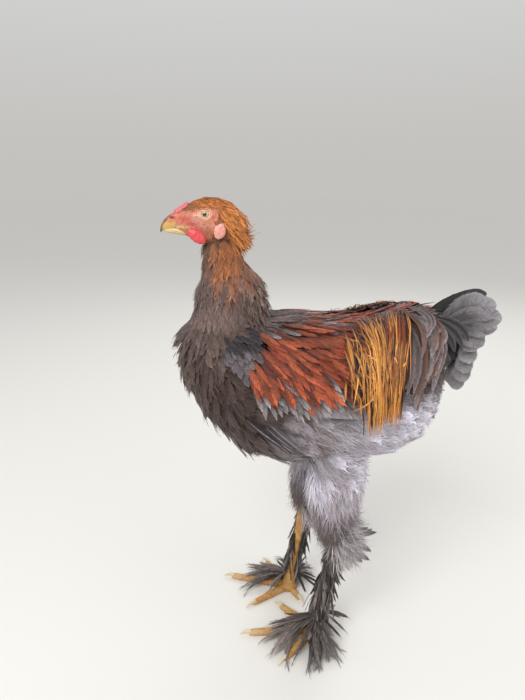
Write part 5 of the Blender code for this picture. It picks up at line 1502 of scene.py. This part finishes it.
# Bill
# Short stout horn: yellow sides, a reddish-brown ridge with a pale line and a dark hooked tip.
# Along both halves: x, lowest and highest z, half width
BILL_UPPER = np.array((
    (-0.1820, 0.5652, 0.5850, 0.0078),
    (-0.1840, 0.5652, 0.5860, 0.0080),
    (-0.1920, 0.5648, 0.5838, 0.0071),
    (-0.1990, 0.5642, 0.5798, 0.0056),
    (-0.2050, 0.5628, 0.5740, 0.0037),
    (-0.2085, 0.5606, 0.5685, 0.0021),
    (-0.2098, 0.5598, 0.5640, 0.0009),
))
BILL_LOWER = np.array((
    (-0.1790, 0.5560, 0.5656, 0.0070),
    (-0.1880, 0.5570, 0.5661, 0.0062),
    (-0.1960, 0.5585, 0.5657, 0.0046),
    (-0.2020, 0.5598, 0.5646, 0.0027),
    (-0.2048, 0.5608, 0.5634, 0.0010),
))
HORN_YELLOW = linear("D6AC62")
HORN_RED = linear("A86248")
HORN_PALE = linear("EBD7A6")
HORN_DARK = linear("4E3B33")
HORN_BUFF = linear("DCC48C")
CERE_RED = linear("C4645C")
RIDGE_BROWN = linear("743A2C")
EDGE_CREAM = linear("E6CE92")
NOSTRIL_SHADE = linear("2B1512")
NOSTRIL = (-0.1945, 0.5772)
horn, tree, shader = new_material("keratin_horn", roughness=0.38, specular=0.5)
plumage, place = colour_and_place(tree)
# Grain in lines along the bill, about 1 mm apart
grain_place = add_node(tree, "Mapping", {"Scale": (150.0, 900.0, 900.0)}, {"Vector": place})
grain = add_node(tree, "TexNoise", {"Scale": 1.0, "Detail": 3.0}, {"Vector": grain_place.outputs["Vector"]})
worn = stained(tree, plumage, grain.outputs["Fac"], low=0.4, high=0.75, most=0.35, stain="8F6234")
tree.links.new(worn, shader.inputs["Base Color"])
add_bump(tree, shader, grain.outputs["Fac"], strength=0.25, distance=0.0002)
for name, table in (("bill_upper", BILL_UPPER[::-1]), ("bill_lower", BILL_LOWER[::-1])):
    xs = np.linspace(table[0, 0], table[-1, 0], 60)
    low_z, high_z, half_y = read_table(table, xs, 1, 2, 3)
    mesh = tube_mesh(name + "_horn", section_rings(xs, low_z, high_z, half_y, power=2.2, count=72))
    points = vertex_rows(mesh)
    x, y, z = points.T
    if name == "bill_upper":
        hole = np.hypot((x - NOSTRIL[0]) / 0.0030 + (z - NOSTRIL[1]) / 0.006, (z - NOSTRIL[1]) / 0.0012)
        points[:, 1] -= np.sign(y) * 0.0022 * np.exp(-hole ** 2)
        flap = np.hypot((x - NOSTRIL[0]) / 0.0040, (z - NOSTRIL[1] - 0.0022) / 0.0014)
        points[:, 1] += np.sign(y) * 0.0007 * np.exp(-flap ** 2)
        mesh.vertices.foreach_set("co", points.ravel())
        share = np.clip((z - np.interp(x, xs, low_z)) / np.interp(x, xs, high_z - low_z), 0, 1)
        tint = blend(HORN_YELLOW, HORN_RED, smooth_step(share, 0.45, 0.85))
        ridge = smooth_step(share, 0.55, 0.90) * smooth_step(-x, 0.1985, 0.2035)
        for colour, part in (
                (HORN_PALE, 0.7 * np.exp(-(y / 0.0008) ** 2) * (share > 0.9)),
                (CERE_RED, smooth_step(x, -0.2015, -0.1950) * smooth_step(share, 0.30, 0.55) * 0.9),
                (RIDGE_BROWN, smooth_step(share, 0.78, 0.96) * smooth_step(-x, 0.1930, 0.2010) * 0.7),
                (EDGE_CREAM, smooth_step(-share, -0.22, -0.05) * 0.8),
                # Painted shade in the nostril's dent
                (NOSTRIL_SHADE, np.exp(-hole ** 2) * 0.9),
                (HORN_PALE, smooth_step(-z, -0.5662, -0.5648) * smooth_step(x, -0.2060, -0.2010) * 0.5),
                (HORN_DARK, np.maximum(ridge, smooth_step(-x, 0.2045, 0.2080)) * 0.85)):
            tint = blend(tint, colour, part)
    else:
        tint = HORN_BUFF * (0.9 + 0.1 * waves(points, 700.0, 9))[:, None]
    paint_vertices(mesh, tint)
    mesh.shade_smooth()
    hand_over(add_object(name + "_horn", mesh), horn, "horn", name)

# Comb, wattles and earlobes
# Soft red skin full of fine grains: a low pea comb in three rows, smooth oval wattles, and paler
# wrinkled lobes below the ears.
# Number of knobs in a row, its first and last place, and the knobs' radius
COMB_ROWS = (
    (6, (-0.1900, 0.0, 0.5838), (-0.1760, 0.0, 0.5925), 0.0027),
    (4, (-0.1880, 0.0040, 0.5838), (-0.1775, 0.0042, 0.5900), 0.0021),
    (4, (-0.1880, -0.0040, 0.5838), (-0.1775, -0.0042, 0.5900), 0.0021),
)
COMB_VOXEL = 0.00045
COMB_SMOOTHING = 12
WATTLE_PLACE = np.array((-0.1645, 0.0140, 0.5560))
WATTLE_RADII = np.array((0.0125, 0.0038, 0.0068))
WATTLE_SLOPE = math.radians(33.0)
LOBE_PLACE = np.array((LOBE_X, 0.0186, LOBE_Z))
LOBE_RADII = np.array((0.0070, 0.0028, 0.0098))


def skin_material(name, ground_hex, dark_hex, grain_scale):
    """Soft blood-rich skin with fine grains."""
    material, tree, shader = new_material(name, roughness=0.38, specular=0.5)
    shader.inputs["Subsurface Weight"].default_value = 0.2
    shader.inputs["Subsurface Radius"].default_value = (0.004, 0.001, 0.0007)
    shader.inputs["Subsurface Scale"].default_value = 1.0
    place = add_node(tree, "TexCoord").outputs["Object"]
    grains = add_node(tree, "TexVoronoi", {"Scale": grain_scale}, {"Vector": place})
    clouds = add_node(tree, "TexNoise", {"Scale": 260.0, "Detail": 3.0}, {"Vector": place})
    tint = add_node(tree, "ValToRGB", links={"Fac": clouds.outputs["Fac"]})
    for element, position, colour in zip(tint.color_ramp.elements, (0.35, 0.65), (dark_hex, ground_hex)):
        element.position = position
        element.color = rgba(colour)
    tree.links.new(tint.outputs["Color"], shader.inputs["Base Color"])
    add_bump(tree, shader, grains.outputs["Distance"], strength=0.22, distance=0.0002)
    return material


def soft_ball(name, centre, radii, slope, wave_size, wave_scale, seed):
    """A wrinkled ellipsoid, turned by slope in the side view."""
    mesh = ball_mesh(name, radius=1.0, around=80, upward=56)
    points = vertex_rows(mesh) * np.array(radii)
    points = points * (1.0 + wave_size * waves(points, wave_scale, seed))[:, None]
    c = math.cos(slope)
    s = math.sin(slope)
    x = points[:, 0] * c + points[:, 2] * s
    z = -points[:, 0] * s + points[:, 2] * c
    turned = np.stack((x, points[:, 1], z), axis=1) + np.array(centre)
    mesh.vertices.foreach_set("co", turned.ravel())
    return mesh


comb_skin = skin_material("comb_skin", "DC7880", "C45C62", grain_scale=1500.0)
wattle_skin = skin_material("wattle_skin", "E0545A", "CC4046", grain_scale=1900.0)
lobe_skin = skin_material("earlobe_skin", "E8AC9E", "D98F80", grain_scale=1300.0)
knobs = [soft_ball(
    "knob", (-0.1820, 0.0, 0.5862), (0.0110, 0.0056, 0.0038), math.radians(-32.0), wave_size=0.05,
    wave_scale=500.0, seed=2)]
for count, first, last, radius in COMB_ROWS:
    for index, middle in enumerate(np.linspace(first, last, count)):
        knobs.append(soft_ball(
            "knob", middle, (radius, radius, radius * 1.15), slope=0.0, wave_size=0.08, wave_scale=900.0,
            seed=index))
comb = add_object("comb_flesh", join_meshes("comb_flesh", knobs))
fuse(comb, COMB_VOXEL, COMB_SMOOTHING)
hand_over(comb, comb_skin, "red_skin", "comb")
for side, sign in SIDES.items():
    out = np.array((1.0, sign, 1.0))
    mesh = soft_ball(
        "wattle", WATTLE_PLACE * out, WATTLE_RADII, WATTLE_SLOPE, wave_size=0.05, wave_scale=400.0, seed=3)
    hand_over(add_object("wattle_flesh_" + side, mesh), wattle_skin, "red_skin", "wattle_" + side)
    mesh = soft_ball(
        "lobe", LOBE_PLACE * out, LOBE_RADII, slope=0.3, wave_size=0.03, wave_scale=300.0, seed=4)
    hand_over(add_object("lobe_flesh_" + side, mesh), lobe_skin, "red_skin", "earlobe_" + side)

# Head and nape feathers
# Short fine feathers over the crown, cheeks and throat, smallest by the bill, and loose thin orange
# ones with pale tips that stand off behind the nape. Rust-coloured bristles cover the ears.
FRONT_BROWN = linear("6B4A3C")
CHEEK_ORANGE = linear("A5623A")
CHEEK_BROWN = linear("7A4A34")
EAR_RUST = linear("A2603F")


def head_lie(points):
    """Direction of the head's feathers: back over the crown, and down behind the cheeks."""
    cheek = smooth_step(-points[:, 2], -0.565, -0.550)
    fall = -0.25 - 0.9 * smooth_step(points[:, 0], -0.150, -0.120) - 0.5 * cheek
    return np.stack((np.ones(len(points)), 0.1 * np.sign(points[:, 1]), fall), axis=1)


head_points, head_normals = scatter(
    head_surface, spacing=0.00112, seed=91, wanted=lambda q: (bare_face(q) < 0.5) & ~on_lobe(q))
draw = np.random.default_rng(92)
count = len(head_points)
patch = waves(head_points, 260.0, 12) * 0.5 + 0.5
ground = blend(CROWN_BROWN, CROWN_ORANGE, np.clip(patch, 0, 1))
ground = blend(ground, HEAD_THROAT, smooth_step(-head_points[:, 2], -0.566, -0.553) * 0.8)
dark = draw.random(count) < 0.14
ground = pick(dark, CROWN_BROWN * 0.35, ground * draw.uniform(0.7, 1.3, (count, 1)))
front = smooth_step(-head_points[:, 0], 0.158, 0.182)
ground = blend(ground, FRONT_BROWN, front * 0.7)
length = np.interp(head_points[:, 0], (-0.188, -0.165, -0.140, -0.115), (0.0016, 0.0030, 0.0048, 0.0075))
uv = cylinder_uv(head_points, axis=0, low=-0.20, high=-0.10)
lift = draw.uniform(0.06, 0.28, count)
batches = [grow(
    head_points, lay(head_lie(head_points), head_normals), head_normals,
    length * draw.uniform(0.7, 1.3, count), width=0.00052, rows=SLIVER_ROWS, outline=sliver,
    paint=plain_paint(ground, root_shade=0.7, tip_gain=1.3, edge_gain=1.0), patch_uv=uv, lift=lift,
    bend=0.25, sweep=draw.normal(0.0, 0.3, count), roll=draw.normal(0.0, 0.4, count), camber=0.08,
    thick=0.0002)]


def stubble_wanted(points):
    """True where tiny feathers stand on the bare face: many on the cheek, few near the eye."""
    x = points[:, 0]
    z = points[:, 2]
    cheek = 1.5 * smooth_step(-z, -0.570, -0.556) * smooth_step(x, -0.168, -0.152)
    share = -0.55 + cheek + 0.9 * smooth_step(z, 0.581, 0.586)
    open_skin = (bare_face(points) > 0.5) & ~on_lobe(points) & (eye_polar(points)[0] > 2.05)
    return open_skin & (waves(points, 1500.0, 13) < share)


face_points, face_normals = scatter(head_surface, spacing=0.0014, seed=93, wanted=stubble_wanted)
count = len(face_points)
shade = blend(CHEEK_ORANGE, CHEEK_BROWN, draw.random(count))
shade = shade * draw.uniform(0.75, 1.25, (count, 1))
batches.append(grow(
    face_points, lay(head_lie(face_points), face_normals), face_normals, draw.uniform(0.0016, 0.0032, count),
    width=0.00038, rows=SLIVER_ROWS, outline=sliver, paint=plain_paint(shade, root_shade=0.8, tip_gain=1.2,
    edge_gain=1.0), patch_uv=cylinder_uv(face_points, axis=0, low=-0.20, high=-0.10), lift=0.15, bend=0.2,
    sweep=draw.normal(0.0, 0.4, count), roll=0.0, camber=0.05, thick=0.0001))
# Bristles over the ears
for sign in SIDES.values():
    ear_points, ear_normals = scatter(
        head_surface, spacing=0.0012, seed=94, wanted=lambda q: (np.hypot((q[:, 0] + 0.1405) / 0.0038,
        (q[:, 2] - 0.5722) / 0.0024) < 1.0) & (q[:, 1] * sign > 0.0))
    count = len(ear_points)
    shade = EAR_RUST * draw.uniform(0.7, 1.4, (count, 1))
    batches.append(grow(
        ear_points, lay(np.array((1.0, 0.0, -0.45)), ear_normals), ear_normals,
        draw.uniform(0.003, 0.005, count), width=0.0004, rows=SLIVER_ROWS, outline=sliver,
        paint=plain_paint(shade, root_shade=0.7, tip_gain=1.3, edge_gain=1.0),
        patch_uv=cylinder_uv(ear_points, axis=0, low=-0.20, high=-0.10), lift=0.55, bend=0.5,
        sweep=draw.normal(0.0, 0.3, count), roll=0.0, camber=0.05, thick=0.0002))
# Loose feathers that stand off the nape
nape_points, nape_normals = scatter(
    head_surface, spacing=0.0019, seed=95, wanted=lambda q: (q[:, 0] > -0.136 - 0.4 * (q[:, 2] - 0.575))
    & (q[:, 2] > 0.549) & (q[:, 2] < 0.590) & ~on_lobe(q))
count = len(nape_points)
tone = blend(CROWN_ORANGE, CROWN_BROWN, draw.random(count)) * draw.uniform(0.7, 1.25, (count, 1))
way = lay(
    np.stack((np.ones(count), 0.28 * np.sign(nape_points[:, 1]), np.full(count, -1.05)), axis=1)
    + draw.normal(0.0, 0.16, (count, 3)), nape_normals)
uv = cylinder_uv(nape_points, axis=0, low=-0.20, high=-0.10)
low = smooth_step(-nape_points[:, 2], -0.585, -0.560)
length = draw.uniform(0.012, 0.020, count) + 0.016 * low * draw.random(count)
pale_tip = blend(tone, NAPE_PALE, draw.random(count))
lift = 0.03 + 0.12 * draw.random(count) + 0.55 * low * draw.random(count) ** 1.5
centres = arc(
    nape_points, way, nape_normals, length, LONG_ROWS, lift, draw.uniform(-0.1, 0.30, count),
    draw.normal(0.0, 0.2, count))
widths = 0.0014 * draw.uniform(0.7, 1.4, count)
batches.append(vanes(
    centres, nape_normals[:, None], widths, LONG_ROWS, lance,
    three_tone(tone * 0.5, tone, pale_tip, tone * 1.2, edge_share=0.5), uv, draw.normal(0.0, 0.4, count),
    camber=0.08, thick=0.0003))
hand_over(coat_piece("head_coat", batches), soft_feather, "head_feathers")

# Legs and toes
# Yellow-orange scaled skin with rows of overlapping plates down the front of the shank and along
# each toe, small round scales beside them, and pale claws.
# Up the shank: z, x of its middle, half length, half width
SHANK_CORE = np.array((
    (0.026, -0.010, 0.0080, 0.0075),
    (0.042, -0.009, 0.0074, 0.0068),
    (0.070, -0.004, 0.0066, 0.0060),
    (0.110, 0.003, 0.0068, 0.0060),
    (0.140, 0.008, 0.0085, 0.0072),
    (0.157, 0.010, 0.0100, 0.0085),
    (0.175, 0.010, 0.0075, 0.0070),
    (0.195, 0.004, 0.0085, 0.0080),
))
FOOT_X = -0.012
FLOOR_GAP = 0.0004
FOOT_Y = {"left": 0.045, "right": 0.042}
FOOT_TURN = {"left": 3.0, "right": 14.0}
PAD_RADIUS = 0.0120
# Length, heading in degrees from straight ahead, and radius
TOES = {"middle": (0.094, 0.0, 0.0070), "inner": (0.066, -47.0, 0.0062), "outer": (0.066, 44.0, 0.0062),
        "hallux": (0.030, 226.0, 0.0053)}
PLATE = 0.0032
TOE_YELLOW = linear("D2A866")
TOE_ORANGE = linear("C08340")
TOE_PALE = linear("E4CDA0")
CLAW_LENGTH = 0.014
CLAW_HORN = linear("D8C7A4")
# Up the pad: shift along X, height, and shares of its radius along X and Y
PAD_SECTIONS = ((0, 0.0003, 0.95, 0.85), (0, 0.004, 1.08, 0.98), (0.001, 0.009, 1.05, 0.95),
                (0.001, 0.016, 0.88, 0.85), (0.002, 0.025, 0.76, 0.72), (0.003, 0.034, 0.68, 0.62))


def plates(distance, top):
    """Height of overlapping plates: each rises from its root and ends in a step."""
    phase = (distance / PLATE) % 1.0
    return 0.00045 * (phase ** 0.6 - 0.6 * (phase > 0.92)) * top


def foot_centre(side):
    """Point on the floor below the middle of a foot's pad."""
    return np.array((FOOT_X + LEG_SHIFT[side], SIDES[side] * FOOT_Y[side], 0.0))


def toe_ahead(side, heading):
    """Direction of a toe over the floor."""
    turned = math.radians(heading + FOOT_TURN[side])
    return np.array((-math.cos(turned), SIDES[side] * math.sin(turned), 0.0))


def toe_mesh(start, ahead, length, radius):
    """One toe, with knuckles, plates on top and pads below, flat where it rests on the floor."""
    stops = np.linspace(-0.05, 1.0, 110)
    angle = np.linspace(0.0, 2.0 * math.pi, 30, endpoint=False)
    across = np.array((-ahead[1], ahead[0], 0.0))
    rings = []
    for t in stops:
        width = radius * np.interp(
            t, (-0.05, 0.2, 0.42, 0.55, 0.72, 0.95, 1.0), (1.0, 1.0, 0.82, 0.9, 0.74, 0.66, 0.45))
        pad = 1.0 + 0.06 * math.sin(t * length / 0.011 * 2.0 * math.pi)
        top = np.clip(np.sin(angle), 0.0, 1.0) ** 0.5
        r = width + plates(t * length, top)
        below = np.where(np.sin(angle) < 0.0, pad, 1.0)
        height = np.maximum(width * 0.74 + r * np.sin(angle) * below, 0.0)
        side_way = r * np.cos(angle)
        rings.append(start + ahead * (length * t) + np.outer(side_way, across) + np.outer(height, (0, 0, 1)))
    return tube_mesh("toe", rings)


def claw_mesh(start, ahead, length):
    """A claw that curves down to the floor."""
    across = np.array((-ahead[1], ahead[0], 0.0))
    rings = []
    for t in np.linspace(0.0, 0.97, 24):
        r = 0.0029 * (1.0 - t) ** 0.7 + 0.0002
        z = 0.0052 - 0.0042 * t ** 2.2 + 0.0012 * math.sin(math.pi * t)
        middle = start + ahead * (length - 0.003 + (CLAW_LENGTH + 0.003) * t) + np.array((0, 0, z))
        one = ring(middle, across, (0, 0, 1), r * 0.8, r * 1.1, power=2.0, count=20)
        one[:, 2] = np.maximum(one[:, 2], 0.0002)
        rings.append(one)
    return tube_mesh("claw", rings, None, start + ahead * (length + CLAW_LENGTH) + np.array((0, 0, 0.0008)))


scaled, tree, shader = new_material("scaled_leg_skin", roughness=0.5, specular=0.45)
plumage, place = colour_and_place(tree)
scales = add_node(tree, "TexVoronoi", {"Scale": 560.0}, {"Vector": place}, feature="DISTANCE_TO_EDGE")
seams = add_node(tree, "MapRange", {"From Max": 0.12, "To Min": 0.45}, {"Value": scales.outputs["Distance"]})
dust = add_node(tree, "TexNoise", {"Scale": 240.0, "Detail": 4.0}, {"Vector": place})
dirty = stained(tree, plumage, dust.outputs["Fac"], low=0.5, high=0.75, most=0.45, stain="6E5438")
shaded = add_node(tree, "VectorMath", links={0: dirty, 1: seams.outputs["Result"]}, operation="MULTIPLY")
tree.links.new(shaded.outputs["Vector"], shader.inputs["Base Color"])
add_bump(tree, shader, seams.outputs["Result"], strength=0.5, distance=0.0005)
leg_surfaces = {}
for side, sign in SIDES.items():
    centre = foot_centre(side)
    zs = np.linspace(SHANK_CORE[0, 0] - 0.004, SHANK_CORE[-1, 0], 150)
    angle = np.linspace(0.0, 2.0 * math.pi, 40, endpoint=False)
    front_side = np.clip(-np.cos(angle), 0.0, 1.0) ** 0.5
    rings = []
    for z in zs:
        x, a, b = read_table(SHANK_CORE, z, 1, 2, 3)
        bump_out = plates(SHANK_CORE[-1, 0] - z, front_side)
        rings.append(np.stack(
            (x + leg_shift(side, z) + (a + bump_out) * np.cos(angle),
            sign * FOOT_Y[side] + (b + bump_out) * np.sin(angle), np.full(len(angle), z)), axis=1))
    parts = [tube_mesh("shank", rings)]
    pad_rings = [
        ring(centre + np.array((dx, 0, z)), (1, 0, 0), (0, 1, 0), PAD_RADIUS * a, PAD_RADIUS * b, power=2.0,
        count=40) for dx, z, a, b in PAD_SECTIONS]
    parts.append(tube_mesh("pad", pad_rings))
    claws = []
    for length, heading, radius in TOES.values():
        ahead = toe_ahead(side, heading)
        parts.append(toe_mesh(centre, ahead, length, radius))
        claws.append(claw_mesh(centre, ahead, length))
    leg = add_object("leg_skin_" + side, join_meshes("leg_skin_" + side, parts))
    points = vertex_rows(leg.data)
    tint = blend(TOE_YELLOW, TOE_ORANGE, np.clip(waves(points, 160.0, 21) * 0.5 + 0.5, 0, 1))
    out = np.linalg.norm(points[:, :2] - centre[:2], axis=1)
    tint = blend(tint, TOE_PALE, smooth_step(out, 0.05, 0.10) * 0.5 * (points[:, 2] < 0.02))
    paint_vertices(leg.data, tint)
    leg.data.shade_smooth()
    leg_surfaces[side] = surface_of(leg)
    hand_over(leg, scaled, "scaled_skin", "shank_" + side, "foot_" + side)
    claw = add_object("claws_" + side, join_meshes("claws_" + side, claws))
    paint_vertices(claw.data, CLAW_HORN)
    claw.data.shade_smooth()
    hand_over(claw, horn, "scaled_skin")

# Leg and foot feathers
# Pale grey tufts behind the hock, dark soft feathers down the outside of the shank, and broad dark
# ones with pale streaks that fan out over the middle and outer toes.
LEG_DARK = linear("2C2523")
LEG_GREY = linear("756A66")
HOCK_PALE = linear("CFCACC")
FAN_DARK = linear("352D2A")
FAN_PALE = linear("A89E9A")
for side, sign in SIDES.items():
    draw = np.random.default_rng(101)
    centre = foot_centre(side)
    batches = []
    # Pale tufts behind the hock
    hock, hock_normals = scatter(
        leg_surfaces[side], spacing=0.0026, seed=102,
        wanted=lambda q: (q[:, 2] > 0.148) & (q[:, 0] > leg_shift(side, q[:, 2]) + 0.006))
    count = len(hock)
    uv = cylinder_uv(hock, axis=2, low=0.0, high=0.2)
    for reach, strands in ((0.046, 13), (0.034, 13)):
        drop = draw.uniform(-2.0, -0.1, count)
        way = unit(np.stack((np.ones(count), draw.normal(0.1 * sign, 0.28, count), drop), axis=1))
        tone = blend(HOCK_PALE, LEG_GREY, draw.random(count) ** 1.5) * draw.uniform(0.75, 1.2, (count, 1))
        tone = pick(draw.random(count) < 0.10, LEG_DARK * 1.6, tone)
        batches += down(
            draw, hock, hock_normals, way, tone, uv, reach, strands, spread=0.30, lift=0.50, bend=0.75,
            width=0.0008)
    # Dark-tipped feathers that point back from the hock
    count = 10
    hock_root = np.array((0.012 + LEG_SHIFT[side], sign * FOOT_Y[side], 0.158))
    roots = hock_root + draw.normal(0.0, 0.004, (count, 3))
    outward = np.array((0.3, sign * 0.9, 0.3))
    slope = np.radians(draw.uniform(-70.0, 22.0, count))
    way = np.stack((np.cos(slope), draw.normal(0.15 * sign, 0.2, count), np.sin(slope)), axis=1)
    centres = arc(
        roots, unit(way), np.broadcast_to(outward, (count, 3)), 0.052 * draw.uniform(0.8, 1.1, count),
        LONG_ROWS, lift=0.1, bend=0.2, sweep=draw.normal(0.0, 0.3, count))
    tone = HOCK_PALE * draw.uniform(0.5, 0.9, (count, 1))
    batches += combed(
        draw, centres, outward, widths=0.0100, rows=LONG_ROWS, outline=leaf,
        paint=three_tone(tone, tone, LEG_DARK * 2.2, tone, edge_share=0.3),
        uv=cylinder_uv(roots, axis=2, low=0.0, high=0.2), per_side=22, sweep=0.30, camber=0.05, fray=0.30,
        barb_width=0.0009, vary=0.3)
    # Dark feathers down the outer and rear sides of the shank
    shank, shank_normals = scatter(
        leg_surfaces[side], spacing=0.0042, seed=103,
        wanted=lambda q: (q[:, 2] > 0.030) & (q[:, 2] < 0.168)
        & ((q[:, 1] - sign * FOOT_Y[side]) * sign > -0.0035)
        & (q[:, 0] - leg_shift(side, q[:, 2]) > np.interp(q[:, 2], SHANK_CORE[:, 0], SHANK_CORE[:, 1])
        - 0.0062))
    count = len(shank)
    uv = cylinder_uv(shank, axis=2, low=0.0, high=0.2)
    for reach, width, loose in ((0.038, 0.0070, 7), (0.050, 0.0040, 5)):
        way = lay(
            np.stack((draw.normal(0.0, 0.12, count), draw.normal(0.08 * sign, 0.12, count),
            np.full(count, -1.0)), axis=1), shank_normals)
        tone = blend(LEG_DARK, LEG_GREY, draw.random(count) ** 2) * draw.uniform(0.6, 1.3, (count, 1))
        centres = arc(
            shank, way, shank_normals, reach * draw.uniform(0.7, 1.15, count), VANE_ROWS,
            draw.uniform(0.12, 0.40, count), bend=0.42, sweep=draw.normal(0.0, 0.25, count))
        centres[..., 2] = np.maximum(centres[..., 2], 0.004)
        widths = width * draw.uniform(0.7, 1.2, count)
        batches.append(vanes(
            centres, shank_normals[:, None], widths, VANE_ROWS, leaf,
            plain_paint(tone, root_shade=0.6, tip_gain=1.7, edge_gain=1.2), uv,
            draw.normal(0.0, 0.3, count)))
        batches += barbs(
            draw, centres, shank_normals, widths, loose, tone * 1.2, uv, slant=3.0, reach=1.0, first=0.3,
            barb_width=0.0006, vary=0.4)
    # Fans over the toes
    stops = np.append(LONG_ROWS, 1.0)
    for count, first, last, length_a, length_b, root_z, width in (
            (7, 4.0, 22.0, 0.080, 0.076, 0.014, 0.0085), (11, 74.0, 116.0, 0.070, 0.054, 0.014, 0.0085),
            (7, 2.0, 20.0, 0.070, 0.064, 0.024, 0.0080), (11, 70.0, 112.0, 0.062, 0.046, 0.030, 0.0080),
            (6, -2.0, 26.0, 0.078, 0.060, 0.018, 0.0040), (9, 66.0, 118.0, 0.068, 0.042, 0.028, 0.0040)):
        s = np.linspace(0.0, 1.0, count)
        heading = np.radians(first + (last - first) * s + FOOT_TURN[side] + draw.normal(0.0, 4.0, count))
        length = (length_a + (length_b - length_a) * s) * draw.uniform(0.78, 1.05, count)
        bend = draw.normal(0.0, 0.25, count)[:, None] * stops
        way = np.stack(
            (-np.cos(heading[:, None] + bend), sign * np.sin(heading[:, None] + bend),
            np.zeros((count, len(stops)))), axis=-1)
        end_z = 0.0022 + draw.uniform(0.0, 0.004, count)
        root = root_z + draw.uniform(-0.003, 0.004, count)
        height = root[:, None] * (1.0 - stops) + end_z[:, None] * stops
        height = height + 0.010 * np.sin(math.pi * stops ** 0.8)
        centres = centre + way * (0.003 + length[:, None] * stops)[..., None]
        centres[..., 2] = height
        ups = np.broadcast_to(np.array((0.0, 0.0, 1.0)), (count, len(LONG_ROWS), 3))
        tone = FAN_DARK * draw.uniform(0.4, 1.5, (count, 1)) * (2.6 if first < 30.0 else 1.0)
        uv = cylinder_uv(centres[:, 3], axis=0, low=-0.15, high=0.05)
        widths = width * draw.uniform(0.85, 1.2, count)
        pale = blend(tone, FAN_PALE, draw.uniform(0.2, 0.9, count))
        batches.append(vanes(
            centres, ups, widths * 0.85, LONG_ROWS, lance,
            three_tone(tone * 0.5, tone, pale, tone, edge_share=0.7), uv, draw.normal(0.0, 0.3, count),
            camber=0.05))
        batches += barbs(
            draw, centres, ups, widths, per_feather=24, ground=blend(tone, pale, 0.25), uv=uv, slant=4.0,
            reach=1.25, first=0.05, barb_width=0.0007, tip_light=0.8, vary=0.45)
    for batch in batches:
        batch[0][:, 2] = np.maximum(batch[0][:, 2], FLOOR_GAP)
    hand_over(coat_piece("leg_coat_" + side, batches), soft_feather, "leg_feathers")

low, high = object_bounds()
